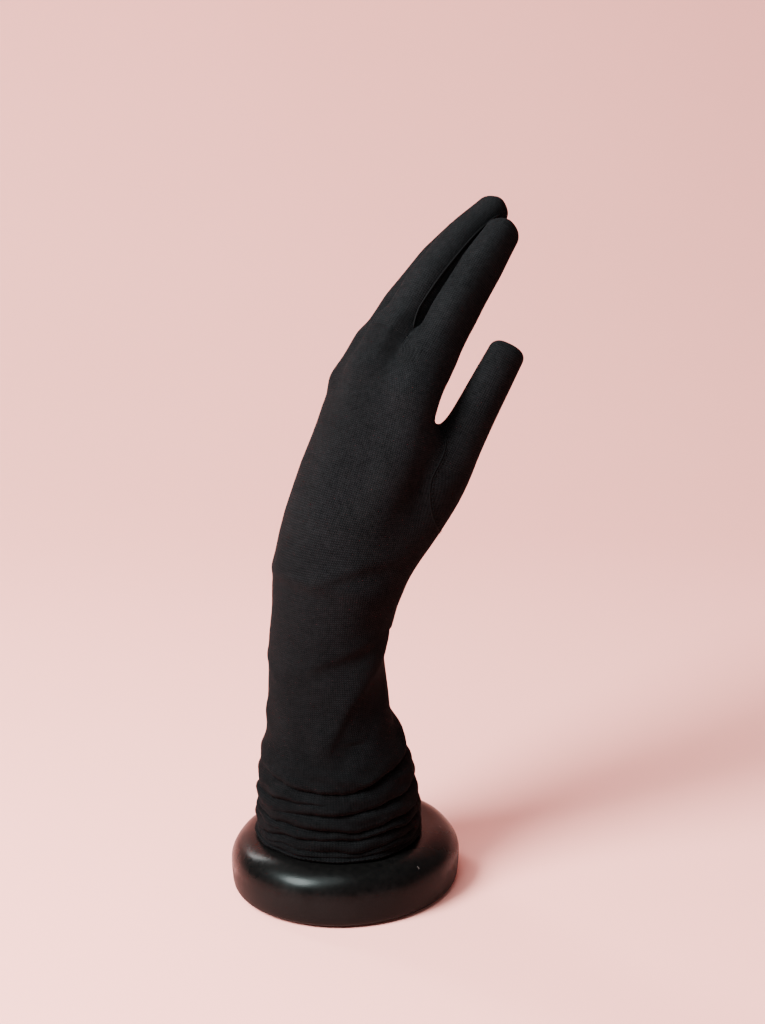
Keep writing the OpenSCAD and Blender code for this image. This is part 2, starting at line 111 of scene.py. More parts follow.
class Tube:
    """An oval tube along a smooth path: half width w along X, half depth d towards the palm, tip rounded over length ra."""

    def __init__(self, pts, w, d, ra, power=2.0, sigma=5.0, square=2.15, bumps=()):
        pts = np.asarray(pts, float)
        L = np.concatenate([[0], np.cumsum(np.linalg.norm(np.diff(pts, axis=0), axis=1))])
        n = int(L[-1] / 0.8) + 1
        s = np.linspace(0, L[-1], n)
        h = s[1] - s[0]
        m = int(3 * sigma / h)
        k = np.exp(-0.5 * (np.arange(-m, m + 1) * h / sigma) ** 2)
        k /= k.sum()
        def sm(v):
            v = np.interp(s, L, v)
            return np.convolve(np.pad(v, m, mode="reflect", reflect_type="odd"), k, mode="valid")
        self.S = np.stack([sm(pts[:, c]) for c in range(3)], 1)
        self.s = s
        T = np.gradient(self.S, axis=0)
        self.T = T / np.linalg.norm(T, axis=1)[:, None]
        X = np.array([1.0, 0, 0]) - self.T * self.T[:, :1]
        self.X = X / np.linalg.norm(X, axis=1)[:, None]
        self.N = np.cross(self.T, self.X)
        self.w, self.d = sm(np.asarray(w, float)), sm(np.asarray(d, float))
        for c, a, sg in bumps:
            g = a * np.exp(-0.5 * ((s - c) / sg) ** 2)
            self.w, self.d = self.w + g, self.d + g * 0.8
        self.ra, self.p, self.m, self.h, self.L = ra, power, square, h, L[-1]
        self.lo = self.S.min(0) - 26
        self.hi = self.S.max(0) + 26

    def local(self, P):
        """Distance along the path, and offsets across it, of each point."""
        n = len(P)
        best = np.zeros(n, int)
        for i in range(0, n, 60000):
            q = P[i:i + 60000]
            best[i:i + 60000] = np.argmin((self.S ** 2).sum(1)[None] - 2 * q @ self.S.T, axis=1)
        q = P - self.S[best]
        a = np.einsum("ij,ij->i", q, self.T[best])
        last, first = best == len(self.s) - 1, best == 0
        over = np.where(last, np.maximum(a, 0), 0) + np.where(first, np.minimum(a, 0), 0)
        inner = a - over
        s = self.s[best] + inner
        q = q - inner[:, None] * self.T[best]
        x = np.einsum("ij,ij->i", q, self.X[best])
        y = np.einsum("ij,ij->i", q, self.N[best])
        return s, x, y, over

    def __call__(self, P):
        out = np.full(len(P), 40.0)
        sout = np.zeros(len(P))
        near = np.all((P > self.lo) & (P < self.hi), axis=1)
        if near.any():
            s, x, y, over = self.local(P[near])
            w, d = np.interp(s, self.s, self.w), np.interp(s, self.s, self.d)
            k = (np.abs(x / w) ** self.m + np.abs(y / d) ** self.m) ** (1 / self.m)
            ra = np.where(over < 0, w, self.ra)
            k = (k ** self.p + np.abs(over / ra) ** self.p) ** (1 / self.p)
            k = np.maximum(k, 1e-6)
            L = np.sqrt(x * x + y * y + over * over)
            out[near] = np.where(k > 0.05, L * (1 - 1 / k), -w)
            sout[near] = s + over
        return out, sout

    def at(self, s, phi, lift=0.0):
        """Point of the surface at path length s and angle phi in degrees: 0 is +X, 90 is the palm side."""
        i = np.interp(s, self.s, np.arange(len(self.s)))
        g = lambda A: np.stack([np.interp(i, np.arange(len(self.s)), A[:, c]) for c in range(3)], 1)
        w, d = np.interp(s, self.s, self.w) + lift, np.interp(s, self.s, self.d) + lift
        c, sn = np.cos(np.radians(phi)), np.sin(np.radians(phi))
        r = (np.abs(c) ** self.m + np.abs(sn) ** self.m) ** (-1 / self.m)
        return g(self.S) + (w * r * c)[:, None] * g(self.X) + (d * r * sn)[:, None] * g(self.N)


def finger_tube(i):
    m = np.array(MCP[i], float)
    p = m + LEN[i][0] * dirv(TILT[i][0], SIDE[i])
    q = p + LEN[i][1] * dirv(TILT[i][1], SIDE[i])
    e = q + LEN[i][2] * dirv(TILT[i][2], SIDE[i])
    h = m + WEB[i] * dirv(TILT[i][0], SIDE[i])
    if i == 1:  # the knit of the middle finger sits towards the palm side, nearly closing the slot beside the index finger
        h, p, q, e = h + (0, 1.3, 0), p + (0.5, 1.6, 0), q + (0.5, 1.3, 0), e + (0.2, 0.5, 0)
    return Tube([m, h, p, q, e], WID[i], DEP[i], ra=DEP[i][4] * 1.0, sigma=4.0, square=2.7,
                bumps=((LEN[i][0], 0.22, 4), (LEN[i][0] * 0.5 + WEB[i] * 0.5, -0.12, 5), (LEN[i][0] + LEN[i][1], 0.12, 3.5)))


TUBES = [finger_tube(i) for i in range(4)]
TH_PTS = [[13, 1.5, 131], [17, 6, 146], [23.5, 16, 162], [29.2, 25.3, 177], list(TH_K), list(TH_K + 16 * TH_DIR), list(TH_K + 30 * TH_DIR), list(TH_K + 41.3 * TH_DIR)]
TUBES.append(Tube(TH_PTS, [11.2, 12.4, 12.2, 11.1, 9.4, 8.3, 7.9, 7.5], [11.2, 12.4, 12.2, 11.1, 9.5, 8.6, 8.1, 7.5], ra=5.6, power=2.7, sigma=5.0, bumps=((64, 0.2, 5),)))
TH_S = np.concatenate([[0], np.cumsum(np.linalg.norm(np.diff(np.array(TH_PTS), axis=0), axis=1))])[4]
HINGE_S = [float(w) for w in WEB] + [float(TH_S)]
HINGE = [np.array(MCP[i]) + WEB[i] * dirv(TILT[i][0], SIDE[i]) for i in range(4)] + [TH_K]
ROOT_DIR = [dirv(TILT[i][0], SIDE[i]) for i in range(4)] + [TH_DIR]
CUT = [7.0, 7.0, 7.0, 7.0, 9.0]


def arm_field(P):
    z = np.clip(P[:, 2], 20, 150)
    cx, cy, a, b = arm_at(z)
    x, y = P[:, 0] - cx, P[:, 1] - cy
    k = np.sqrt((x / a) ** 2 + (y / b) ** 2)
    over = np.maximum(P[:, 2] - 136, 0)
    k2 = np.maximum(np.sqrt(k * k + (over / 26) ** 2), 1e-6)
    L = np.sqrt(x * x + y * y + over * over)
    return np.where(k2 > 0.05, L * (1 - 1 / k2), -20)


PALM = [((14, -6.6, 140), MCP[0], 14.0, 9.0), ((5, -8.6, 140), MCP[1], 14.0, 8.8), ((-5, -8.6, 140), MCP[2], 14.0, 8.6), ((-13.5, -7.0, 140), np.array(MCP[3]) + [5.0, 2.5, 0], 13.5, 3.8),
        ((12, -1.7, 139), (16, 11.3, 180), 15.0, 12.0), ((-12.5, 0.7, 140.6), (-15, 12.3, 180), 14.5, 11.0),
        ((16, 11.3, 180), (20, 19, 205), 11.5, 9.0), ((-15, 12.3, 180), (-12, 19, 205), 10.5, 7.5)]
BARS = [(HINGE[i] - b * ROOT_DIR[i], HINGE[i + 1] - b * ROOT_DIR[i + 1], 6.8, 6.4) for i, b in enumerate((10.0, 6.5, 5.5))]
WEBBING = [((29, 20, 182), (30, 16.5, 198), 8.2, 6.0)]
CAD_ARM = np.array([(73.2, -0.8, -6.9, 28.2, 26.8), (84, -1.5, -7.7, 26.8, 24.8), (97, -1.9, -8.2, 26.4, 23.7), (110, -1.9, -8.2, 26, 22.7), (124, -0.8, -7, 26.8, 23), (134, 0, -6.6, 27.6, 22.6)])
XC = np.array([-35.0, MCP[3][0], MCP[2][0], MCP[1][0], MCP[0][0]])
COL = np.array([[MCP[3][1] + 3, MCP[3][2] - 4]] + [[MCP[i][1], MCP[i][2]] for i in (3, 2, 1, 0)])
XE = np.array([-33, -16.45, -15.1, -1.3, 0.45, 15.6, 17.1, 36.0])
EDGE = np.array([HINGE[i][1:] - 4.0 * ROOT_DIR[i][1:] for i in (3, 3, 2, 2, 1, 1, 0, 0)])


def blur_table(x, v, sigma):
    g = np.arange(-60, 60.5, 0.5)
    n = int(4 * sigma / 0.5)
    k = np.exp(-0.5 * (np.arange(-n, n + 1) * 0.5 / sigma) ** 2)
    k /= k.sum()
    return g, np.stack([np.convolve(np.pad(np.interp(g, x, v[:, c]), n, mode="edge"), k, mode="valid") for c in range(2)], 1)


XC, COL = blur_table(XC, COL, 4.0)
XE, EDGE = blur_table(XE, EDGE, 1.1)


def slab_field(P, grow=0.0, K=33):
    """The flat of the hand: a wide oval bent along the knuckles. t runs 0 at the wrist, 1 at the knuckles, 2 at the finger roots."""
    out = np.full(len(P), 60.0)
    near = (P[:, 2] > 112) & (P[:, 2] < 252)
    Q = P[near]
    res = np.empty(len(Q))
    tt = np.linspace(0, 2, K)
    for i in range(0, len(Q), 40000):
        q = Q[i:i + 40000]
        x = q[:, 0]
        c = np.stack([np.interp(x, XC, COL[:, k]) for k in (0, 1)], 1)
        e = np.stack([np.interp(x, XE, EDGE[:, k]) for k in (0, 1)], 1)
        w0 = np.array([-7.2, 138.0])
        # a curve from the wrist through the knuckle row to the finger roots, rounded at the knuckles
        a0, a1 = w0 + (c - w0) * 0.9, c + (e - c) * 0.2
        mid = np.empty((len(q), K, 2))
        for k, t in enumerate(tt):
            if t < 0.9:
                mid[:, k] = w0 + (c - w0) * t
            elif t > 1.2:
                mid[:, k] = c + (e - c) * (t - 1)
            else:
                u = (t - 0.9) / 0.3
                mid[:, k] = (1 - u) ** 2 * a0 + 2 * u * (1 - u) * c + u * u * a1
        d2 = ((mid - q[:, None, 1:]) ** 2).sum(2)
        b = np.argmin(d2, 1)
        r = np.arange(len(q))
        lo_, hi_ = np.maximum(b - 1, 0), np.minimum(b + 1, K - 1)
        T = mid[r, hi_] - mid[r, lo_]
        T /= np.linalg.norm(T, axis=1)[:, None]
        v = q[:, 1:] - mid[r, b]
        al = (v * T).sum(1)
        n = v[:, 0] * T[:, 1] - v[:, 1] * T[:, 0]
        seg = np.linalg.norm(mid[r, hi_] - mid[r, lo_], axis=1) / np.maximum(hi_ - lo_, 1)
        t = np.clip(tt[b] + np.clip(al / np.maximum(seg, 1e-6), -1, 1) * (tt[1] - tt[0]), 0, 2)
        over = np.where(b == K - 1, np.maximum(al, 0), 0) + np.where(b == 0, np.minimum(al, 0), 0)
        w = np.interp(t, [0, 0.3, 0.6, 1, 1.4, 2], [28, 30, 33, 34.5, 34, 32.4]) + grow
        ulnar = np.interp(t, [0, 0.3, 0.6, 0.85, 1, 1.4, 2], [0, 0.6, 0.4, -2.2, -3.6, -3.2, -1])
        flare = np.interp(t, [0.1, 0.4, 0.7, 1, 1.4, 2], [0, 1.5, 4, 3.2, 1.6, 0])
        side = np.clip(x / 8 + 0.5, 0, 1)
        w = w + ulnar + (flare - ulnar) * side * side * (3 - 2 * side)
        d = np.interp(t, [0, 0.3, 0.6, 1, 1.4, 2], [22.5, 20.3, 16.4, 12, 10.6, 9.6]) + grow
        dorsal = np.clip(0.5 - n / 6, 0, 1)
        d = d + dorsal * np.interp(t, [0, 0.3, 0.6, 0.85, 1, 2], [0.6, 1.4, 1.2, 0.2, 0, 0])
        d = d * np.where(x < 0, 1 - 0.4 * dorsal * np.minimum(1, t) * np.minimum(1, (x / w) ** 2), 1)
        m = np.interp(t, [0, 0.6, 1, 2], [2, 2.3, 2.7, 3.0])
        ax, an = np.abs(x) / w, np.abs(n) / d
        k_ = np.maximum((ax ** m + an ** m) ** (1 / m), 1e-3)
        g = k_ ** (1 - m) * np.sqrt((np.maximum(ax, 1e-4) ** (m - 1) / w) ** 2 + (np.maximum(an, 1e-4) ** (m - 1) / d) ** 2)
        f = np.maximum((k_ - 1) / np.maximum(g, 1e-3), -d)
        r0 = 5.0
        f = np.where(over != 0, np.sqrt(np.maximum(f + r0, 0) ** 2 + over ** 2) - r0, f)
        res[i:i + 40000] = f
    out[near] = res
    return out


def form_field(P):
    """The display form under the fabric, as far as the fabric must keep clear of it."""
    z = np.clip(P[:, 2], 73.2, 134)
    cx, cy, a, b = [np.interp(z, CAD_ARM[:, 0], CAD_ARM[:, k]) for k in (1, 2, 3, 4)]
    a, b = a - 1.15, b - 1.15
    x, y = P[:, 0] - cx, P[:, 1] - cy
    k = np.maximum(np.sqrt((x / a) ** 2 + (y / b) ** 2), 1e-3)
    g = np.sqrt((x / a ** 2) ** 2 + (y / b ** 2) ** 2) / k
    f = np.maximum((k - 1) / np.maximum(g, 1e-3), -20)
    f = np.where(P[:, 2] > 134, np.sqrt(np.maximum(f + 6, 0) ** 2 + (P[:, 2] - 134) ** 2) - 6, f)
    f = np.where(P[:, 2] < 73.2, 50, f)
    return np.minimum(f, slab_field(P, -1.15))


def palm_field(P):
    d = smin(arm_field(P), slab_field(P), 2.5)
    m = None
    for a, b, ra, rb in PALM:
        c = cone(P, a, b, ra - 0.8, rb - 0.8)
        m = c if m is None else smin(m, c, 5.0)
    d = smin(d, m, 5.0)
    for a, b, ra, rb in BARS:
        d = smin(d, cone(P, a, b, ra, rb), 4.0)
    for a, b, ra, rb in WEBBING:
        d = smin(d, cone(P, a, b, ra, rb), 6.0)
    return d


# Soft folds of the sleeve: lines in (angle round the arm, height), with height, half width above and below the line
def polyline_z(theta, pts):
    t = np.array([p[0] for p in pts], float)
    z = np.array([p[1] for p in pts], float)
    return np.interp(theta, t, z)


def fade(theta, lo, hi, soft):
    a = np.clip((theta - lo) / soft, 0, 1)
    b = np.clip((hi - theta) / soft, 0, 1)
    return (a * a * (3 - 2 * a)) * (b * b * (3 - 2 * b))


SOFT = [
    # points, from, to, fade, amplitude, width below, width above
    ([(-60, 70), (-40, 75), (-28, 84), (-17, 92), (6, 103), (32, 112), (60, 118)], -62, 52, 16, 1.25, 5.5, 9.0),
    ([(-50, 64), (-30, 68), (-10, 76), (10, 87), (32, 99), (60, 106)], -46, 62, 18, -1.5, 6.0, 6.0),
    ([(-60, 105), (-46, 107.5), (-23, 111.6), (2, 116.4), (30, 121)], -64, 24, 20, 0.55, 3.0, 4.5),
    ([(-60, 101), (-46, 103.5), (-23, 107), (2, 111), (30, 116)], -60, 14, 20, -0.45, 3.5, 3.0),
    ([(-60, 143), (-39, 145.5), (-13, 150), (40, 153)], -66, 40, 24, 0.5, 3.0, 5.0),
    ([(-60, 138), (-39, 140.5), (-13, 145), (40, 148)], -60, 36, 24, -0.4, 4.0, 3.0),
    ([(-180, 66), (-130, 63), (-100, 60.5), (-70, 57)], -175, -68, 26, 0.9, 3.2, 4.0),
    ([(20, 62), (36, 66), (50, 70), (90, 73), (130, 70)], 22, 150, 22, 1.3, 3.2, 4.2),
    ([(20, 72), (50, 80), (90, 84), (130, 80)], 26, 140, 24, -0.9, 4.0, 4.5),
    ([(-180, 104), (-130, 103), (-100, 99), (-80, 96)], -178, -84, 26, 0.6, 3.5, 3.5),
    ([(60, 96), (110, 92), (170, 97)], 66, 176, 26, 0.8, 4.0, 4.5),
    ([(70, 112), (120, 118), (176, 110)], 72, 176, 26, 0.6, 4.0, 5.0),
    ([(-178, 84), (-140, 80), (-100, 76)], -176, -98, 24, 0.6, 4.0, 4.0),
]


def soft_folds(P):
    z = P[:, 2]
    out = np.zeros(len(P))
    m = (z > 50) & (z < 172)
    if not m.any():
        return out
    z = z[m]
    cx, cy, _, _ = arm_at(np.clip(z, 20, 150))
    th = np.degrees(np.arctan2(P[m, 1] - cy, P[m, 0] - cx))
    d = np.zeros(len(z))
    for pts, lo, hi, soft, amp, below, above in SOFT:
        dz = z - polyline_z(th, pts)
        w = np.where(dz < 0, below, above)
        d += amp * np.exp(-((dz / w) ** 2)) * fade(th, lo, hi, soft)
    t = np.radians(th)
    d += 0.16 * np.sin(3 * t + z * 0.11) * np.sin(z * 0.19 + 1.3) + 0.1 * np.sin(5 * t - z * 0.23 + 0.6)
    out[m] = np.where(d > 0, 1.35, 1.0) * d * np.clip((168 - z) / 22, 0, 1) * np.clip((z - 52) / 12, 0, 1)
    return out


def body_field(P):
    return smin(palm_field(P) - soft_folds(P), form_field(P) - 0.4, 0.8)


def single_field(i, k=5.0):
    """The hand with only one digit, so that neighbouring fingers stay apart."""
    def f(P):
        d, s = TUBES[i](P)
        return smin(body_field(P), d, 9.0 if i == 4 else k)
    return f


def whole_field(P):
    b = body_field(P)
    out = None
    for i in range(5):
        d, _ = TUBES[i](P)
        f = smin(b, d, 9.0 if i == 4 else 5.0)
        out = f if out is None else np.minimum(out, f)
    return out


def gate(P):
    """For each digit, a value above 0 on the part of the glove that its own piece covers."""
    D, S = zip(*[t(P) for t in TUBES])
    D = np.stack(D)
    out = []
    for i in range(5):
        other = np.min(np.delete(D, i, axis=0), axis=0)
        out.append(np.minimum(np.minimum(S[i] - (HINGE_S[i] - CUT[i]), 0.6 * (other - D[i])), 0.6 * (6.0 - D[i])))
    return out


# ------------------------------------------------------------------ meshing
def grad(f, P, e=0.25):
    g = np.zeros_like(P)
    for c in range(3):
        o = np.zeros(3)
        o[c] = e
        g[:, c] = (f(P + o) - f(P - o)) / (2 * e)
    return g


def newton(f, P, n=2):
    for _ in range(n):
        g = grad(f, P)
        v = f(P)
        P = P - (v / np.maximum((g * g).sum(1), 0.2))[:, None] * g
    return P


def surface_nets(f, lo, hi, h, band=None):
    lo, hi = np.asarray(lo, float), np.asarray(hi, float)
    n = np.ceil((hi - lo) / h).astype(int) + 1
    coarse = 4
    nc = (n + coarse - 1) // coarse + 1
    gc = np.stack(np.meshgrid(*[lo[c] + np.arange(nc[c]) * h * coarse for c in range(3)], indexing="ij"), -1).reshape(-1, 3)
    Fc = f(gc).reshape(nc)
    def up(A, axis):
        idx = np.arange(n[axis]) / coarse
        i = np.floor(idx).astype(int)
        t = idx - i
        a, b = np.take(A, i, axis), np.take(A, np.minimum(i + 1, A.shape[axis] - 1), axis)
        sh = [1, 1, 1]
        sh[axis] = -1
        return a * (1 - t.reshape(sh)) + b * t.reshape(sh)
    F = up(up(up(Fc, 0), 1), 2)
    need = np.nonzero(np.abs(F.ravel()) < (band or h * coarse * 0.9))[0]
    ijk = np.stack(np.unravel_index(need, F.shape), 1)
    F.ravel()[need] = f(lo + ijk * h)
    sg = F < 0
    shape = np.array(F.shape) - 1
    acc = np.zeros((*shape, 3), np.float32)
    cnt = np.zeros(shape, np.uint8)
    idx = np.indices(F.shape).astype(np.float32)
    edges = []
    for ax in range(3):
        s0 = [slice(None)] * 3
        s1 = [slice(None)] * 3
        s0[ax], s1[ax] = slice(None, -1), slice(1, None)
        a, b = F[tuple(s0)], F[tuple(s1)]
        cr = sg[tuple(s0)] != sg[tuple(s1)]
        I = np.nonzero(cr)
        t = a[I] / (a[I] - b[I])
        p = np.stack(I, 1).astype(np.float32)
        p[:, ax] += t
        o = [c for c in range(3) if c != ax]
        I = np.stack(I, 1)
        for da in (0, 1):
            for db in (0, 1):
                J = I.copy()
                J[:, o[0]] -= da
                J[:, o[1]] -= db
                ok = np.all((J >= 0) & (J < shape), axis=1)
                np.add.at(acc, tuple(J[ok].T), p[ok])
                np.add.at(cnt, tuple(J[ok].T), 1)
        edges.append((I, sg[tuple(I.T)]))
    act = np.nonzero(cnt)
    vid = np.full(shape, -1, int)
    vid[act] = np.arange(len(act[0]))
    V = lo + (acc[act] / cnt[act][:, None]) * h
    quads = []
    for ax in range(3):
        I, inside = edges[ax]
        o = [(ax + 1) % 3, (ax + 2) % 3]
        ok = (I[:, o[0]] > 0) & (I[:, o[1]] > 0) & (I[:, o[0]] < shape[o[0]]) & (I[:, o[1]] < shape[o[1]])
        I, inside = I[ok], inside[ok]
        def v(a, b):
            J = I.copy()
            J[:, o[0]] -= a
            J[:, o[1]] -= b
            return vid[tuple(J.T)]
        q = np.stack([v(1, 1), v(0, 1), v(0, 0), v(1, 0)], 1)
        q[~inside] = q[~inside][:, ::-1]
        quads.append(q)
    Q = np.concatenate(quads)
    Q = Q[(Q >= 0).all(1)]
    return V.astype(float), Q


def triangles(Q):
    return np.concatenate([Q[:, [0, 1, 2]], Q[:, [0, 2, 3]]])


def clip(V, A, T, g):
    """Keeps the triangles where g is above 0, cutting those that cross it. A holds per-vertex values."""
    g = np.where(np.abs(g) < 0.02, 0.02 * np.sign(g + 1e-12), g)
    pos = g[T] > 0
    n = pos.sum(1)
    keep = [T[n == 3]]
    newv, newa, cache = [], [], {}
    base = len(V)
    def cutpoint(i, j):
        key = (i, j) if i < j else (j, i)
        if key not in cache:
            t = g[i] / (g[i] - g[j])
            cache[key] = base + len(newv)
            newv.append(V[i] + (V[j] - V[i]) * t)
            newa.append(A[i] + (A[j] - A[i]) * t)
        return cache[key]
    tri = []
    for t, p in zip(T[(n > 0) & (n < 3)], pos[(n > 0) & (n < 3)]):
        if p.sum() == 1:
            k = int(np.argmax(p))
            a, b, c = t[k], t[(k + 1) % 3], t[(k + 2) % 3]
            tri.append((a, cutpoint(a, b), cutpoint(a, c)))
        else:
            k = int(np.argmin(p))
            a, b, c = t[k], t[(k + 1) % 3], t[(k + 2) % 3]
            ab, ac = cutpoint(a, b), cutpoint(a, c)
            tri += [(ab, b, c), (ab, c, ac)]
    if tri:
        keep.append(np.array(tri))
        V = np.concatenate([V, np.array(newv)])
        A = np.concatenate([A, np.array(newa)])
    T = np.concatenate(keep)
    used, inv = np.unique(T, return_inverse=True)
    return V[used], A[used], inv.reshape(-1, 3)


def largest(V, A, T):
    """Drops loose scraps, keeping the biggest connected part."""
    lab = np.arange(len(V))
    for _ in range(4000):
        m = lab[T].min(1)
        new = lab.copy()
        for c in range(3):
            np.minimum.at(new, T[:, c], m)
        new = new[new]
        if (new == lab).all():
            break
        lab = new
    u, c = np.unique(lab, return_counts=True)
    T = T[lab[T[:, 0]] == u[np.argmax(c)]]
    used, inv = np.unique(T, return_inverse=True)
    return V[used], A[used], inv.reshape(-1, 3)


def add_mesh(name, V, faces, normals=None, uv=None, wrap=None, mat=None):
    """A mesh object from millimetres. uv is per vertex, and wrap the period of u, so that a face across the join doesn't fold back."""
    faces = np.asarray(faces)
    me = bpy.data.meshes.new(name)
    nf, k = faces.shape
    me.vertices.add(len(V))
    me.vertices.foreach_set("co", (np.asarray(V) * MM).astype(np.float32).ravel())
    me.loops.add(nf * k)
    me.loops.foreach_set("vertex_index", faces.ravel().astype(np.int32))
    me.polygons.add(nf)
    me.polygons.foreach_set("loop_start", (np.arange(nf) * k).astype(np.int32))
    me.polygons.foreach_set("loop_total", np.full(nf, k, np.int32))
    me.update(calc_edges=True)
    me.validate()
    me.polygons.foreach_set("use_smooth", np.ones(len(me.polygons), bool))
    if uv is not None:
        c = np.asarray(uv)[faces]
        if wrap:
            u = c[:, :, 0]
            big = u.max(1) - u.min(1) > wrap / 2
            u[big] = np.where(u[big] < wrap / 2, u[big] + wrap, u[big])
        layer = me.uv_layers.new(name="UVMap")
        if len(layer.data) == nf * k:
            layer.data.foreach_set("uv", (c.reshape(-1, 2) * 0.02).astype(np.float32).ravel())
    if normals is not None and len(me.vertices) == len(V):
        nn = np.asarray(normals)
        nn = nn / np.maximum(np.linalg.norm(nn, axis=1), 1e-9)[:, None]
        me.normals_split_custom_set_from_vertices(nn.astype(np.float32).tolist())
    ob = bpy.data.objects.new(name, me)
    bpy.context.scene.collection.objects.link(ob)
    if mat:
        me.materials.append(mat)
    return ob


def tube_mesh(paths, radius, sides=8, closed=False):
    """Round piping along one or more paths (mm). radius may be a function of length."""
    V, Q, U, off = [], [], [], 0
    for path in paths:
        P = np.asarray(path, float)
        n = len(P)
        T = (np.roll(P, -1, 0) - np.roll(P, 1, 0)) if closed else np.gradient(P, axis=0)
        T /= np.linalg.norm(T, axis=1)[:, None]
        ref = np.array([0.3, 0.2, 1.0])
        A = np.cross(T, ref)
        A /= np.linalg.norm(A, axis=1)[:, None]
        B = np.cross(T, A)
        L = np.concatenate([[0], np.cumsum(np.linalg.norm(np.diff(P, axis=0), axis=1))])
        r = radius(L) if callable(radius) else np.full(n, radius)
        if not closed:
            r = r * np.clip(np.minimum(np.arange(n), np.arange(n)[::-1]) / 3.0 + 0.15, 0, 1)
        for k in range(sides):
            t = 2 * math.pi * k / sides
            V.append(P + r[:, None] * (A * math.cos(t) + B * math.sin(t)))
            U.append(np.stack([np.full(n, k * 0.5), L], 1))
        m = n if closed else n - 1
        for k in range(sides):
            a, b = off + k * n, off + ((k + 1) % sides) * n
            i = np.arange(m)
            j = (i + 1) % n
            Q.append(np.stack([a + i, a + j, b + j, b + i], 1)[:, ::-1])
        off += sides * n
    return np.concatenate(V), np.concatenate(Q), np.concatenate(U)


def stitch_mesh(P, T, N, length=1.3, radius=0.26):
    """Little thread stitches lying on the surface: one low bead at each point P, along T, standing on normal N."""
    V, Q = [], []
    rings, sides = 7, 6
    B = np.cross(N, T)
    off = 0
    for p, t, n, b in zip(P, T, N, B):
        for i in range(rings):
            x = (i / (rings - 1) - 0.5) * length
            q = math.sqrt(max(0.0, 1 - (2 * i / (rings - 1) - 1) ** 2))
            r = radius * (0.25 + 0.75 * q)
            lift = radius * 0.7 * q - 0.05
            for k in range(sides):
                a = 2 * math.pi * k / sides
                V.append(p + t * x + n * (lift + r * math.sin(a)) + b * r * math.cos(a))
        for i in range(rings - 1):
            for k in range(sides):
                a, c = off + i * sides + k, off + i * sides + (k + 1) % sides
                Q.append((a, c, c + sides, a + sides))
        off += rings * sides
    return np.array(V), np.array(Q)


# ------------------------------------------------------------------ materials
def principled(name):
    m = bpy.data.materials.new(name)
    m.use_nodes = True
    t = m.node_tree
    t.nodes.clear()
    out = t.nodes.new("ShaderNodeOutputMaterial")
    b = t.nodes.new("ShaderNodeBsdfPrincipled")
    t.links.new(b.outputs[0], out.inputs[0])
    return m, t, b


def node(t, kind, **kw):
    n = t.nodes.new(kind)
    for k, v in kw.items():
        setattr(n, k, v)
    return n


def maths(t, op, a, b=None, c=None):
    n = t.nodes.new("ShaderNodeMath")
    n.operation = op
    for i, v in enumerate((a, b, c)):
        if v is None:
            continue
        if isinstance(v, (int, float)):
            n.inputs[i].default_value = v
        else:
            t.links.new(v, n.inputs[i])
    return n.outputs[0]


def ramp(t, fac, stops):
    n = t.nodes.new("ShaderNodeValToRGB")
    e = n.color_ramp.elements
    while len(e) < len(stops):
        e.new(0.5)
    for k, (p, c) in enumerate(stops):
        e[k].position = p
        e[k].color = (*c, 1) if len(c) == 3 else (c[0], c[0], c[0], 1)
    t.links.new(fac, n.inputs[0])
    return n.outputs[0]


def noise(t, vec, scale, detail=4.0, rough=0.5):
    n = t.nodes.new("ShaderNodeTexNoise")
    n.inputs["Scale"].default_value = scale
    n.inputs["Detail"].default_value = detail
    n.inputs["Roughness"].default_value = rough
    if vec is not None:
        t.links.new(vec, n.inputs["Vector"])
    return n.outputs["Fac"]


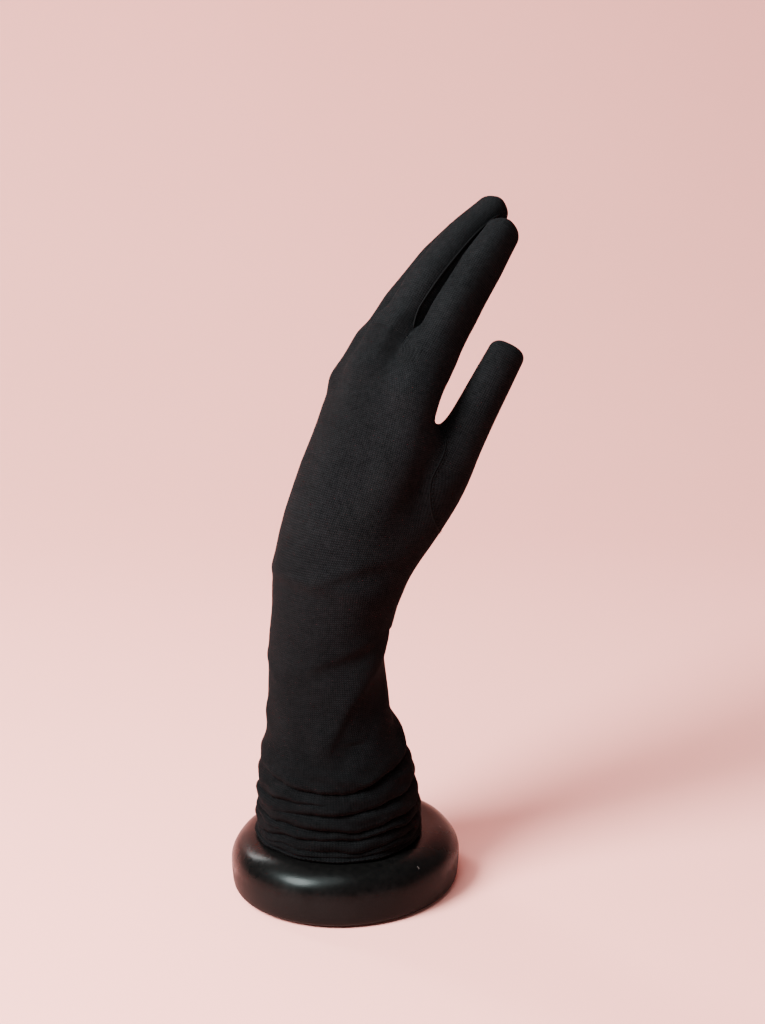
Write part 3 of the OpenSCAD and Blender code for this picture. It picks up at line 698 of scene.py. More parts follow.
def knit_material(name, dark, light, course=0.86, wale=0.9, bump=0.8, sheen=0.012):
    """Fine jersey knit: rows of small V stitches that follow the mesh's own fabric coordinates."""
    m, t, b = principled(name)
    uv = t.nodes.new("ShaderNodeUVMap")
    uv.uv_map = "UVMap"
    sep = t.nodes.new("ShaderNodeSeparateXYZ")
    t.links.new(uv.outputs[0], sep.inputs[0])
    u = maths(t, "MULTIPLY", sep.outputs[0], 50.0 / wale)
    v = maths(t, "MULTIPLY", sep.outputs[1], 50.0 / course)
    fu = maths(t, "FRACT", u)
    tri = maths(t, "ABSOLUTE", maths(t, "MULTIPLY_ADD", fu, 2.0, -1.0))
    phase = maths(t, "ADD", v, maths(t, "MULTIPLY", tri, 0.55))
    row = maths(t, "MULTIPLY_ADD", maths(t, "SINE", maths(t, "MULTIPLY", phase, 2 * math.pi)), 0.5, 0.5)
    rib = maths(t, "SUBTRACT", 1.0, maths(t, "POWER", tri, 4.0))
    height = maths(t, "MULTIPLY", maths(t, "MULTIPLY_ADD", row, 0.75, 0.25), maths(t, "MULTIPLY_ADD", rib, 0.7, 0.3))
    tc = t.nodes.new("ShaderNodeTexCoord")
    obj = tc.outputs["Object"]
    fuzz = noise(t, obj, 1500.0, 3.0, 0.7)
    big = noise(t, obj, 55.0, 3.0, 0.5)
    mid = noise(t, obj, 520.0, 2.0, 0.6)
    mix = maths(t, "ADD", maths(t, "MULTIPLY", height, 0.55), maths(t, "MULTIPLY_ADD", fuzz, 0.7, -0.2))
    mix = maths(t, "ADD", mix, maths(t, "MULTIPLY_ADD", big, 0.26, -0.13))
    mix = maths(t, "ADD", mix, maths(t, "MULTIPLY_ADD", mid, 0.42, -0.21))
    # painted shade: the knit colour is scaled down towards the bottom by object height, to 0.6 at the cuff, in place of
    # less light on the lower sleeve and gathers
    sz = t.nodes.new("ShaderNodeSeparateXYZ")
    t.links.new(obj, sz.inputs[0])
    painted_shade_by_height = maths(t, "MINIMUM", maths(t, "MAXIMUM", maths(t, "MULTIPLY_ADD", sz.outputs[2], 2.9, 0.53), 0.6), 1.0)
    mix = maths(t, "MULTIPLY", mix, painted_shade_by_height)
    col = ramp(t, mix, [(0.05, dark), (0.55, tuple((a + c) / 2 for a, c in zip(dark, light))), (1.0, light)])
    t.links.new(col, b.inputs["Base Color"])
    rg = ramp(t, maths(t, "ADD", big, maths(t, "MULTIPLY", height, 0.2)), [(0.2, (0.96,)), (0.9, (0.78,))])
    t.links.new(rg, b.inputs["Roughness"])
    bm = t.nodes.new("ShaderNodeBump")
    bm.inputs["Strength"].default_value = bump
    bm.inputs["Distance"].default_value = 0.0003
    t.links.new(maths(t, "ADD", height, maths(t, "MULTIPLY", fuzz, 0.35)), bm.inputs["Height"])
    t.links.new(bm.outputs[0], b.inputs["Normal"])
    b.inputs["Sheen Weight"].default_value = sheen
    b.inputs["Sheen Roughness"].default_value = 0.45
    b.inputs["Sheen Tint"].default_value = (0.62, 0.6, 0.64, 1)
    b.inputs["Specular IOR Level"].default_value = 0.5
    b.inputs["Specular Tint"].default_value = (0.62, 0.95, 1.0, 1)
    b.inputs["IOR"].default_value = 1.06
    return m


KNIT = knit_material("glove_knit_black", (0.0001, 0.00012, 0.00013), (0.0104, 0.0112, 0.0121))
KNIT_SIDE = KNIT


def thread_material():
    m, t, b = principled("seam_thread_black")
    tc = t.nodes.new("ShaderNodeTexCoord")
    n = noise(t, tc.outputs["Object"], 3200.0, 3.0, 0.6)
    col = ramp(t, n, [(0.2, (0.0007, 0.0008, 0.0009)), (0.8, (0.0040, 0.0043, 0.0047))])
    t.links.new(col, b.inputs["Base Color"])
    bm = t.nodes.new("ShaderNodeBump")
    bm.inputs["Strength"].default_value = 0.5
    bm.inputs["Distance"].default_value = 0.0001
    t.links.new(n, bm.inputs["Height"])
    t.links.new(bm.outputs[0], b.inputs["Normal"])
    rg = ramp(t, n, [(0.0, (0.55,)), (1.0, (0.75,))])
    t.links.new(rg, b.inputs["Roughness"])
    b.inputs["Sheen Weight"].default_value = 0.008
    b.inputs["Sheen Roughness"].default_value = 0.4
    b.inputs["Specular IOR Level"].default_value = 0.03
    return m


THREAD = thread_material()


def foot_material():
    """Black semi-gloss paint: brighter and glossy on the shoulder, duller and browner down the worn side, with faint scuffs."""
    m, t, b = principled("foot_black_paint")
    tc = t.nodes.new("ShaderNodeTexCoord")
    obj = tc.outputs["Object"]
    sep = t.nodes.new("ShaderNodeSeparateXYZ")
    t.links.new(obj, sep.inputs[0])
    geo = t.nodes.new("ShaderNodeNewGeometry")
    nz = t.nodes.new("ShaderNodeSeparateXYZ")
    t.links.new(geo.outputs["Normal"], nz.inputs[0])
    big = noise(t, obj, 42.0, 5.0, 0.55)
    fine = noise(t, obj, 420.0, 4.0, 0.6)
    grit = noise(t, obj, 1800.0, 2.0, 0.5)
    wear = maths(t, "SUBTRACT", 1.0, maths(t, "MULTIPLY", sep.outputs[2], 1 / 0.0165))
    wear = maths(t, "ADD", wear, maths(t, "MULTIPLY_ADD", big, 0.9, -0.45))
    wear = maths(t, "ADD", wear, maths(t, "MULTIPLY_ADD", fine, 0.3, -0.15))
    wearc = ramp(t, wear, [(0.02, (0.0,)), (0.35, (1.0,))])
    mixc = t.nodes.new("ShaderNodeMix")
    mixc.data_type = "RGBA"
    t.links.new(wearc, mixc.inputs["Factor"])
    dark = ramp(t, fine, [(0.3, (0.0012, 0.0012, 0.0012)), (0.75, (0.0028, 0.0027, 0.0026))])
    worn = ramp(t, maths(t, "ADD", maths(t, "MULTIPLY", big, 0.6), maths(t, "MULTIPLY", grit, 0.4)), [(0.3, (0.0022, 0.0021, 0.0021)), (0.7, (0.0056, 0.0053, 0.0052))])
    t.links.new(dark, mixc.inputs["A"])
    t.links.new(worn, mixc.inputs["B"])
    # scuffs: thin pale marks, kept sparse by a second noise
    mp = t.nodes.new("ShaderNodeMapping")
    mp.inputs["Scale"].default_value = (1.0, 3.4, 1.0)
    mp.inputs["Rotation"].default_value = (0.3, 0.2, 0.9)
    t.links.new(obj, mp.inputs["Vector"])
    scr = noise(t, mp.outputs[0], 310.0, 2.0, 0.5)
    where = noise(t, obj, 75.0, 1.0, 0.5)
    mark = maths(t, "MULTIPLY", maths(t, "GREATER_THAN", scr, 0.745), maths(t, "GREATER_THAN", where, 0.60))
    mark = maths(t, "MULTIPLY", mark, maths(t, "GREATER_THAN", nz.outputs[2], 0.35))
    mix2 = t.nodes.new("ShaderNodeMix")
    mix2.data_type = "RGBA"
    t.links.new(mark, mix2.inputs["Factor"])
    t.links.new(mixc.outputs["Result"], mix2.inputs["A"])
    mix2.inputs["B"].default_value = (0.10, 0.095, 0.09, 1)
    t.links.new(mix2.outputs["Result"], b.inputs["Base Color"])
    rg = maths(t, "ADD", maths(t, "MULTIPLY", wearc, 0.24), maths(t, "MULTIPLY_ADD", big, 0.3, 0.14))
    rg = maths(t, "ADD", rg, maths(t, "MULTIPLY", mark, 0.4))
    t.links.new(rg, b.inputs["Roughness"])
    bm = t.nodes.new("ShaderNodeBump")
    bm.inputs["Strength"].default_value = 0.25
    bm.inputs["Distance"].default_value = 0.00025
    t.links.new(maths(t, "ADD", maths(t, "MULTIPLY", grit, 0.5), maths(t, "MULTIPLY", fine, 0.5)), bm.inputs["Height"])
    t.links.new(bm.outputs[0], b.inputs["Normal"])
    b.inputs["Specular IOR Level"].default_value = 0.055
    b.inputs["Specular Tint"].default_value = (0.8, 1.0, 1.0, 1)
    b.inputs["Coat Weight"].default_value = 0.02
    b.inputs["Coat Roughness"].default_value = 0.16
    return m


FOOT = foot_material()


def simple_material(name, c0, c1, r0, r1, scale, bump=0.1, metal=0.0, stretch=None):
    m, t, b = principled(name)
    tc = t.nodes.new("ShaderNodeTexCoord")
    vec = tc.outputs["Object"]
    if stretch:
        mp = t.nodes.new("ShaderNodeMapping")
        mp.inputs["Scale"].default_value = stretch
        t.links.new(vec, mp.inputs["Vector"])
        vec = mp.outputs[0]
    n = noise(t, vec, scale, 5.0, 0.6)
    t.links.new(ramp(t, n, [(0.25, c0), (0.75, c1)]), b.inputs["Base Color"])
    t.links.new(ramp(t, n, [(0.2, (r0,)), (0.8, (r1,))]), b.inputs["Roughness"])
    bm = t.nodes.new("ShaderNodeBump")
    bm.inputs["Strength"].default_value = bump
    bm.inputs["Distance"].default_value = 0.0002
    t.links.new(n, bm.inputs["Height"])
    t.links.new(bm.outputs[0], b.inputs["Normal"])
    b.inputs["Metallic"].default_value = metal
    return m


FORM = simple_material("form_moulded_plastic", (0.52, 0.42, 0.33), (0.6, 0.5, 0.4), 0.5, 0.62, 900)
STEEL = simple_material("zinc_plated_steel", (0.42, 0.43, 0.45), (0.6, 0.6, 0.62), 0.28, 0.42, 1500, 0.08, 1.0, (1, 1, 6))
IRON = simple_material("cast_iron_ballast", (0.06, 0.06, 0.062), (0.13, 0.13, 0.135), 0.6, 0.8, 700, 0.5, 1.0)
BRASS = simple_material("turned_brass", (0.62, 0.45, 0.18), (0.76, 0.58, 0.27), 0.25, 0.4, 1500, 0.06, 1.0, (1, 1, 8))
RUBBER = simple_material("foam_rubber_pad", (0.014, 0.014, 0.016), (0.035, 0.035, 0.038), 0.8, 0.95, 1400, 0.6)

for n, o in nodes.items():
    mat = FORM if n.endswith("_form") else IRON if n.startswith("ballast") else BRASS if n == "threaded_insert" else RUBBER if n == "foot_pad" else STEEL
    if len(o.material_slots):
        for s in o.material_slots:
            s.material = mat
    else:
        o.data.materials.append(mat)

# ------------------------------------------------------------------ hand of the glove
SPLIT_Z = 118.0


def hand_uv(P):
    z = P[:, 2]
    cx, cy, _, _ = arm_at(np.clip(z, 20, 150))
    k = np.clip((z - 138) / 77, 0, 1.2)
    cy = cy + k * 19
    cx = cx + k * 1.5
    flat = 1 + 0.9 * np.clip(k, 0, 1)
    th = np.arctan2((P[:, 1] - cy) * flat, P[:, 0] - cx)
    w = np.clip((z - 138) / 60, 0, 1)
    v = z + 0.42 * (P[:, 1] + 6) * w * w * (3 - 2 * w)
    return np.stack([(th / (2 * math.pi) + 0.5) * 158.4, v], 1)


def digit_uv(i, P):
    s, x, y, over = TUBES[i].local(P)
    th = np.arctan2(y, x)
    return np.stack([(th / (2 * math.pi) + 0.5) * 52.8, s + over], 1)


STEP = 0.75
V, Q = surface_nets(whole_field, (-42, -40, SPLIT_Z - 4), (50, 62, 248), STEP)
V = newton(whole_field, V, 1)
N = grad(whole_field, V)
T = triangles(Q)
G = gate(V)
A = np.concatenate([N, hand_uv(V), -np.max(np.stack(G), 0)[:, None]], 1)
V, A, T = clip(V, A, T, V[:, 2] - SPLIT_Z)
V, A, T = clip(V, A, T, A[:, 5])
V, A, T = largest(V, A, T)
hand = add_mesh("glove_hand", V, T, A[:, :3], A[:, 3:5], 158.4, KNIT)
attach(hand, "hand")
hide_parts("trank", "thumb_gusset")

digits = []
for i, name in enumerate(FINGERS + ["thumb"]):
    f = single_field(i)
    tb = TUBES[i]
    s0 = HINGE_S[i] - CUT[i] - 3
    keep = tb.S[tb.s > s0 - 2]
    lo = keep.min(0) - 19
    hi = keep.max(0) + 17
    V, Q = surface_nets(f, lo, hi, STEP * 0.9)
    V = newton(f, V, 2)
    N = grad(f, V)
    T = triangles(Q)
    A = np.concatenate([N, digit_uv(i, V), gate(V)[i][:, None]], 1)
    inside = np.min(np.stack([V - lo - 1.5, hi - 1.5 - V]), axis=(0, 2))
    A = np.concatenate([A, inside[:, None]], 1)
    V, A, T = clip(V, A, T, A[:, 5])
    V, A, T = largest(V, A, T)
    ob = add_mesh("glove_" + name, V, T, A[:, :3], A[:, 3:5], 52.8, KNIT)
    digits.append(ob)
    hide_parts(name + "_stall", *{"index": ["index_fourchette"], "middle": ["middle_fourchettes"], "ring": ["ring_fourchettes"], "little": ["little_fourchette"], "thumb": []}[name])

# ------------------------------------------------------------------ sleeve and gathered cuff
# Crease lines of the gathers as (angle, height) all the way round, each with the strength along it.
CREASES = [
    ([(-180, 62.5), (-150, 61.5), (-130, 60), (-100, 57.2), (-80, 54.8), (-63, 53.4), (-35, 53.5), (-13, 55.4), (8, 58.1), (35, 61.1), (60, 63.5), (90, 65), (130, 65), (180, 62.5)],
     [(-180, 0.35), (-120, 0.3), (-80, 0.35), (-60, 0.8), (-35, 1.0), (30, 1.0), (60, 0.9), (120, 0.6), (180, 0.35)], 5.2, 3.2, 5.6),
    ([(-180, 49.5), (-150, 48), (-125, 47.3), (-101, 47.5), (-70, 48.5), (-48, 48.9), (-30, 49.2), (180, 49.5)],
     [(-180, 0.7), (-150, 0.8), (-101, 0.75), (-62, 0.9), (-44, 0.0), (120, 0.0), (150, 0.5), (180, 0.7)], 4.2, 2.6, 3.4),
    ([(-180, 44.5), (-110, 42.6), (-71, 43.8), (-38, 44.6), (-5, 46.5), (26, 48.1), (60, 50), (100, 51), (140, 51), (180, 49.8)],
     [(-180, 0.0), (-92, 0.0), (-72, 0.8), (-38, 1.0), (26, 0.9), (100, 0.8), (180, 0.35)], 4.6, 2.6, 3.4),
    ([(-180, 40.5), (-130, 39.6), (-105, 39), (-79, 38), (-47, 37.9), (-18, 38.1), (11, 39.2), (40, 40.6), (80, 42), (120, 42.4), (180, 40.5)],
     [(-180, 0.8), (-105, 0.9), (-18, 1.0), (11, 0.8), (80, 0.7), (180, 0.8)], 4.3, 2.5, 3.2),
    ([(-180, 31.5), (-150, 30.2), (-112, 30.2), (-75, 33.3), (-54, 33.8), (-32, 34.2), (-15, 35), (23, 35.0), (60, 35.6), (100, 36), (140, 34), (180, 31.5)],
     [(-180, 0.85), (-112, 1.0), (-60, 0.9), (23, 1.0), (100, 0.8), (180, 0.85)], 4.1, 2.3, 2.9),
    ([(-180, 36), (-140, 35.5), (-112, 35), (-92, 35.2), (-70, 36), (180, 36)],
     [(-180, 0.55), (-112, 0.5), (-92, 0.45), (-74, 0.0), (120, 0.0), (160, 0.3), (180, 0.55)], 2.2, 1.7, 2.2),
    ([(-180, 28.5), (-110, 28.6), (-85, 29.4), (-54, 28.8), (-32, 29.4), (-9, 30.0), (20, 30.8), (50, 31.2), (90, 31), (180, 28.5)],
     [(-180, 0.0), (-120, 0.2), (-85, 0.6), (-54, 0.9), (-9, 0.8), (50, 0.6), (80, 0.2), (180, 0.0)], 2.8, 1.5, 2.0),
    ([(-180, 26.6), (-100, 26.4), (-54, 26.6), (-9, 27.2), (50, 27.9), (120, 27.4), (180, 26.6)],
     [(-180, 0.6), (-54, 0.85), (50, 0.8), (180, 0.6)], 1.7, 1.0, 1.3),
]


def base_radius(th, z):
    """Radius of the glove from the arm's own middle line, at angles th and heights z (both 1-D, any shape pair)."""
    cx, cy, a, b = arm_at(z)
    c, s = np.cos(th), np.sin(th)
    r = 1 / np.sqrt((c / a) ** 2 + (s / b) ** 2)
    for _ in range(5):
        P = np.stack([cx + r * c, cy + r * s, z], -1).reshape(-1, 3)
        r = r - np.clip(body_field(P).reshape(r.shape), -2, 2)
    return r


NT = 430
rows = np.concatenate([np.arange(24.35, 66, 0.3), np.linspace(66, SPLIT_Z, 84)])
tc = np.linspace(-math.pi, math.pi, 181)
zc = np.concatenate([np.arange(24.35, 66, 1.0), np.linspace(66, SPLIT_Z, 60)])
RC = base_radius(*np.meshgrid(tc, zc, indexing="xy"))
th = np.linspace(-math.pi, math.pi, NT + 1)[:-1]
R1 = np.stack([np.interp(th, tc, row) for row in RC])
R = np.stack([np.interp(rows, zc, R1[:, k]) for k in range(NT)], 1)
TH, Z = np.meshgrid(th, rows)
deg = np.degrees(TH)
relief = np.zeros_like(Z)
drop = np.zeros_like(Z)
wander = 0.5 * np.sin(5 * TH + 0.7) + 0.36 * np.sin(9 * TH + 2.1) + 0.2 * np.sin(17 * TH + 0.4)
for k, (line, strength, depth, above, below) in enumerate(CREASES):
    dz = Z - (polyline_z(deg, line) + wander * (0.6 + 0.5 * math.sin(k * 2.3)))
    s = polyline_z(deg, strength)
    w = np.where(dz > 0, above, below)
    u = np.clip(np.abs(dz) / w, 0, 1)
    d = depth * s * (1 - np.sqrt(np.maximum(0, 1 - (1 - u) ** 2)))
    relief = np.maximum(relief, d) + 0.25 * np.minimum(relief, d)
    drop += np.where(dz > 0, 0.9 * s * np.exp(-dz / 1.1), -0.25 * s * np.exp(dz / 0.8)) * min(1, depth / 2.5)
cuffness = np.clip((66 - Z) / 8, 0, 1)
ripple = 0.3 * np.sin(7 * TH + 0.35 * Z) * np.sin(0.5 * Z + 1.7 + 2 * np.sin(2 * TH)) + 0.12 * np.sin(13 * TH - 0.6 * Z + 1.0) + 0.16 * np.sin(4 * TH + 0.9 * Z)
pinch = 0.1 * np.sin(46 * TH + 3 * np.sin(3 * TH)) * np.exp(-relief * 0.2) * np.clip(relief, 0, 1.4)
R = R - relief + cuffness * (1.35 * ripple + 1.3 * pinch + 0.35)
Zd = Z - drop * np.clip((Z - 25) / 3, 0, 1)
# the lowest gathers sink to the foot's rounded shoulder
hx, hy = 1.0 + 35.6 * np.cos(th), -4.8 + 35.6 * np.sin(th)
ca, sa = math.cos(rad(109)), math.sin(rad(109))
fx, fy = np.maximum(np.abs(hx * ca + hy * sa) - 3.6, 0), -hx * sa + hy * ca
fr = np.clip((np.hypot(fx, fy) - 36.7) / 11.5, 0, 0.95)
sink = 24.0 - (12.5 + 11.4 * np.sqrt(1 - fr * fr))
Zd = Zd - np.maximum(sink, 0)[None, :] * np.exp(-(Z - 24.35) / 5.0)
# rolled hem at the foot: the last rows curl in under the edge
hem = np.clip((26.2 - Z) / 1.85, 0, 1)
R = R + 0.35 * np.sin(hem * math.pi) - 1.0 * hem ** 3
cx, cy, _, _ = arm_at(Z)
P = np.stack([cx + R * np.cos(TH), cy + R * np.sin(TH), Zd], -1)
# the turned-in edge inside the hem
inner = []
for dr, dz in ((-1.5, 0.05), (-2.1, 0.35), (-2.3, 1.0), (-2.35, 3.0)):
    inner.append(np.stack([cx[0] + (R[0] + dr) * np.cos(th), cy[0] + (R[0] + dr) * np.sin(th), Zd[0] + dz], -1))
P = np.concatenate([np.array(inner)[::-1], P])
nr = len(P)
# fabric rows: length measured down the folded surface, so the knit follows the gathers
step = np.linalg.norm(np.diff(P, axis=0), axis=2).mean(1)
vlen = np.concatenate([[0], np.cumsum(step)])
vlen = vlen - vlen[-1] + SPLIT_Z
UV = np.stack(np.broadcast_arrays(((th / (2 * math.pi) + 0.5) * 158.4)[None, :], vlen[:, None]), -1)
i, j = np.meshgrid(np.arange(nr - 1), np.arange(NT), indexing="ij")
jn = (j + 1) % NT
Q = np.stack([i * NT + j, i * NT + jn, (i + 1) * NT + jn, (i + 1) * NT + j], -1).reshape(-1, 4)
du = np.roll(P, -1, 1) - np.roll(P, 1, 1)
dv = np.gradient(P, axis=0)
NN = np.cross(du, dv)
NN /= np.linalg.norm(NN, axis=2)[:, :, None]
top = P[-1]
g = grad(body_field, top)
g /= np.linalg.norm(g, axis=1)[:, None]
for k in range(1, 7):
    w = 1 - (k - 1) / 6
    NN[-k] = NN[-k] * (1 - w) + g * w
sleeve = add_mesh("glove_sleeve", P.reshape(-1, 3), Q, NN.reshape(-1, 3), UV.reshape(-1, 2), 158.4, KNIT)
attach(sleeve, "hand")
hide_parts("gathered_cuff", "hem_band")
SLEEVE_P, SLEEVE_N = P, NN


# ------------------------------------------------------------------ seams and stitches
def resample(P, step):
    P = np.asarray(P, float)
    L = np.concatenate([[0], np.cumsum(np.linalg.norm(np.diff(P, axis=0), axis=1))])
    s = np.linspace(0, L[-1], max(4, int(L[-1] / step)))
    return np.stack([np.interp(s, L, P[:, c]) for c in range(3)], 1)


def smooth_path(P, n=6, closed=False):
    P = np.asarray(P, float)
    for _ in range(n):
        a, b = np.roll(P, 1, 0), np.roll(P, -1, 0)
        q = 0.25 * a + 0.5 * P + 0.25 * b
        if not closed:
            q[0], q[-1] = P[0], P[-1]
        P = q
    return P


def beaded(r, amp, pitch):
    return lambda L: r + amp * np.sin(2 * math.pi * L / pitch)


SEAM_SIDES = {0: (180,), 1: (0, 180), 2: (0, 180), 3: (0,)}
seam_objects = []
for i, name in enumerate(FINGERS):
    tb, f = TUBES[i], single_field(i)
    paths = []
    for side in SEAM_SIDES[i]:
        for up in (-1, 1):
            s = np.arange(HINGE_S[i] - 2.5, tb.L - 1.5, 0.5)
            x = (s - s[0]) / (s[-1] - s[0])
            phi = side + up * (1 if side == 0 else -1) * (27 - 5 * x) * np.sqrt(np.clip(1 - x ** 5, 0, 1)) * (0.6 + 0.4 * np.clip((s - s[0]) / 10, 0, 1))
            path = tb.at(s, phi)
            path = newton(f, path, 3)
            n = grad(f, path)
            n /= np.linalg.norm(n, axis=1)[:, None]
            paths.append(path + n * 0.05)
    Vt, Qt, Ut = tube_mesh(paths, beaded(0.40, 0.07, 1.5))
    ob = add_mesh("seam_" + name, Vt, Qt, None, Ut, None, THREAD)
    seam_objects.append((ob, i))

LOOP = [(33.1, 21.3, 191.6), (34.6, 16.8, 182.2), (35.9, 15.2, 176.5), (36.6, 15.2, 170.3), (36.5, 16.9, 165.9), (35.6, 20, 160.9), (32.5, 25.5, 157), (27, 30, 157),
        (21, 32.5, 161), (16.5, 33.5, 168), (15, 33, 177), (16.5, 31, 186), (20, 27.5, 192.5), (25, 24.5, 195.5), (30, 22.8, 195.5)]
loop = np.array(LOOP + LOOP[:1], float)
loop = smooth_path(resample(loop, 0.8)[:-1], 14, closed=True)
loop = newton(whole_field, loop, 4)
loop = smooth_path(loop, 8, closed=True)
loop = newton(whole_field, loop, 3)
n = grad(whole_field, loop)
n /= np.linalg.norm(n, axis=1)[:, None]
Vt, Qt, Ut = tube_mesh([loop + n * 0.02], 0.34, closed=True)
ob = add_mesh("seam_thumb_loop", Vt, Qt, None, Ut, None, THREAD)
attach(ob, "hand")
L = np.concatenate([[0], np.cumsum(np.linalg.norm(np.diff(loop, axis=0), axis=1))])
ss = np.arange(0.5, L[-1], 1.9)
pt = np.stack([np.interp(ss, L, loop[:, c]) for c in range(3)], 1)
nn = np.stack([np.interp(ss, L, n[:, c]) for c in range(3)], 1)
tt = np.stack([np.interp(ss, L, np.gradient(loop, axis=0)[:, c]) for c in range(3)], 1)
tt /= np.linalg.norm(tt, axis=1)[:, None]
side = np.cross(nn, tt)
side /= np.linalg.norm(side, axis=1)[:, None]
pt2 = newton(whole_field, pt + side * 0.95, 2)
Vs, Qs = stitch_mesh(pt2, tt, nn / np.linalg.norm(nn, axis=1)[:, None], 1.15, 0.27)
ob = add_mesh("stitches_thumb", Vs, Qs, None, None, None, THREAD)
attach(ob, "hand")
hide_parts("thumb_seam")

# closing seam down the outer edge of the hand and sleeve
zs = np.arange(64, 203, 0.6)
k = np.clip((zs - 138) / 70, 0, 1)
line = np.stack([np.full(len(zs), -31.0), -7.2 + 22.5 * k ** 1.25, zs], 1)
for _ in range(3):
    line = newton(body_field, line, 2)
    line[:, 2] = zs
line = smooth_path(line, 10)
line = newton(body_field, line, 2)
n = grad(body_field, line)
n /= np.linalg.norm(n, axis=1)[:, None]
Vt, Qt, Ut = tube_mesh([line + n * 0.03], beaded(0.36, 0.05, 1.5))
ob = add_mesh("seam_outer_edge", Vt, Qt, None, Ut, None, THREAD)
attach(ob, "hand")
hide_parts("ulnar_seam")

# hem stitching: one round of short stitches on the lowest roll
r0 = int(np.argmin(np.abs(rows - 25.5))) + 4
step = max(1, int(round(NT / 118)))
Pp, Pn = SLEEVE_P[r0][::step], SLEEVE_N[r0][::step]
Tt = (np.roll(SLEEVE_P[r0], -1, 0) - np.roll(SLEEVE_P[r0], 1, 0))[::step]
Tt /= np.linalg.norm(Tt, axis=1)[:, None]
Vs, Qs = stitch_mesh(Pp, Tt, Pn, 1.2, 0.2)
ob = add_mesh("stitches_hem", Vs, Qs, None, None, None, THREAD)
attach(ob, "hand")

# ------------------------------------------------------------------ foot
prof = [(6.0, 24.0), (20, 24.0), (30, 24.0), (34.0, 23.98), (36.2, 23.9)]
for a in np.linspace(86, 2, 28):
    prof.append((36.7 + 11.5 * math.cos(rad(a)), 12.5 + 11.4 * math.sin(rad(a))))
prof += [(48.2, 11.0), (48.15, 9), (48.05, 7), (47.9, 5), (47.7, 3.4), (47.5, 2.5), (47.1, 1.7), (46.4, 1.15), (45.4, 1.0), (42, 1.0), (38.6, 1.0), (38.1, 1.15), (38.0, 2.0)]
prof = np.array(prof)
NF = 360
tf = np.linspace(0, 2 * math.pi, NF, endpoint=False)
RR, TT = np.meshgrid(prof[:, 0], tf, indexing="ij")
ZZ = np.repeat(prof[:, 1:2], NF, 1)
lump = np.clip((RR - 30) / 10, 0, 1) * np.clip((ZZ - 6) / 8, 0, 1)
wob = 0.22 * np.sin(3 * TT + 0.5) + 0.14 * np.sin(7 * TT + 1.9) + 0.08 * np.sin(12 * TT + 0.3)
RR2 = RR + lump * wob
ZZ2 = ZZ + lump * 0.3 * np.sin(2 * TT + 1.1) + lump * 0.12 * np.sin(9 * TT)
x = RR2 * np.cos(TT) + 3.6 * np.cos(TT) * np.clip(RR2 / 48, 0, 1)
y = RR2 * np.sin(TT)
a = rad(109)
FP = np.stack([x * math.cos(a) - y * math.sin(a), x * math.sin(a) + y * math.cos(a), ZZ2], -1)
i, j = np.meshgrid(np.arange(len(prof) - 1), np.arange(NF), indexing="ij")
jn = (j + 1) % NF
FQ = np.stack([i * NF + j, (i + 1) * NF + j, (i + 1) * NF + jn, i * NF + jn], -1).reshape(-1, 4)
foot = add_mesh("foot_body", FP.reshape(-1, 3), FQ, None, None, None, FOOT)
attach(foot, "hand")
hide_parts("foot")

# ------------------------------------------------------------------ digit pieces and their seams: transforms baked into the meshes
for i, name in enumerate(FINGERS + ["thumb"]):
    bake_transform(digits[i])
    for ob, k in seam_objects:
        if k == i:
            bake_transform(ob)

# ------------------------------------------------------------------ stage, light and camera
def stage_material():
    m, t, b = principled("stage_pale_rose")
    tc = t.nodes.new("ShaderNodeTexCoord")
    n = noise(t, tc.outputs["Object"], 3.0, 2.0, 0.5)
    t.links.new(ramp(t, n, [(0.2, (0.88, 0.379, 0.332)), (0.8, (0.91, 0.394, 0.346))]), b.inputs["Base Color"])
    b.inputs["Roughness"].default_value = 0.9
    b.inputs["Specular IOR Level"].default_value = 0.15
    return m


AZ, EL = rad(50), rad(15)
back = Vector((math.sin(AZ) * math.cos(EL), -math.cos(AZ) * math.cos(EL), math.sin(EL)))
right = Vector((math.cos(AZ), math.sin(AZ), 0))
up = back.cross(right)
fwd = Vector((-math.sin(AZ), math.cos(AZ), 0))

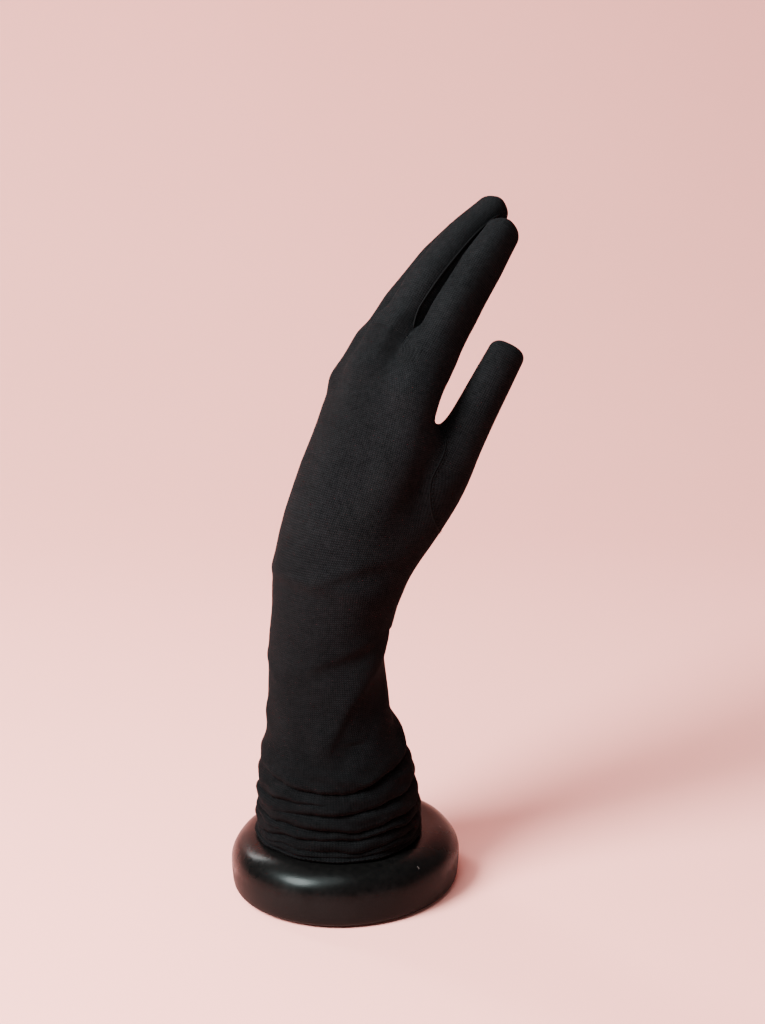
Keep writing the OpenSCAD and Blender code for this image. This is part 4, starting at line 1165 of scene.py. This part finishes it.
# floor that curves up into a wall well behind the object
W, NX = 3.4, 8
prof2 = [(-1.6, 0.0), (0.55, 0.0)] + [(0.55 + 0.9 * math.sin(rad(q)), 0.9 - 0.9 * math.cos(rad(q))) for q in range(6, 91, 6)] + [(1.45, 2.6)]
sv, sf = [], []
for d, z in prof2:
    for k in range(NX + 1):
        p = right * ((k / NX - 0.5) * W) + fwd * d
        sv.append((p.x * 1000, p.y * 1000, z * 1000))
for r in range(len(prof2) - 1):
    for k in range(NX):
        q = r * (NX + 1) + k
        sf.append((q, q + 1, q + NX + 2, q + NX + 1))
floor = add_mesh("stage_floor", np.array(sv), np.array(sf), None, None, None, stage_material())

F_PX, DEPTH = 1900.0, 830.0
cx_, cy_ = (346 - 382.5) / F_PX * DEPTH, -(876 - 512) / F_PX * DEPTH
cam_pos = (right * -cx_ + up * -cy_ + back * DEPTH) * MM
cam_data = bpy.data.cameras.new("camera")
cam_data.sensor_fit = "AUTO"
cam_data.sensor_width = 36.0
cam_data.lens = F_PX / 1024 * 36.0
cam_data.clip_start, cam_data.clip_end = 0.05, 20
cam = bpy.data.objects.new("camera", cam_data)
bpy.context.scene.collection.objects.link(cam)
cam.matrix_world = Matrix(((right.x, up.x, back.x, cam_pos.x), (right.y, up.y, back.y, cam_pos.y), (right.z, up.z, back.z, cam_pos.z), (0, 0, 0, 1)))
bpy.context.scene.camera = cam


def area_light(name, az, el, dist, size, power, colour, target=(0, 0, 0.14)):
    d = bpy.data.lights.new(name, "AREA")
    d.shape = "DISK"
    d.size = size
    d.energy = power
    d.color = colour
    o = bpy.data.objects.new(name, d)
    bpy.context.scene.collection.objects.link(o)
    v = Vector((math.sin(rad(az)) * math.cos(rad(el)), -math.cos(rad(az)) * math.cos(rad(el)), math.sin(rad(el))))
    o.location = Vector(target) + v * dist
    o.rotation_mode = "QUATERNION"
    o.rotation_quaternion = v.to_track_quat("Z", "Y")
    return o


area_light("key", 50 - 52, 40, 1.2, 0.55, 80, (1.0, 0.99, 0.98), (0, 0, 0.12))
area_light("top", 50 - 20, 62, 1.7, 1.0, 20, (1.0, 0.99, 0.985))
area_light("wash", 50 - 122, 32, 1.6, 1.2, 168, (1.0, 0.99, 0.985), (-0.8, 0.6, 0.45))

w = bpy.context.scene.world or bpy.data.worlds.new("world")
bpy.context.scene.world = w
w.use_nodes = True
bg = w.node_tree.nodes.get("Background") or w.node_tree.nodes.new("ShaderNodeBackground")
bg.inputs[0].default_value = (1.0, 0.93, 0.92, 1)
bg.inputs[1].default_value = 0.27
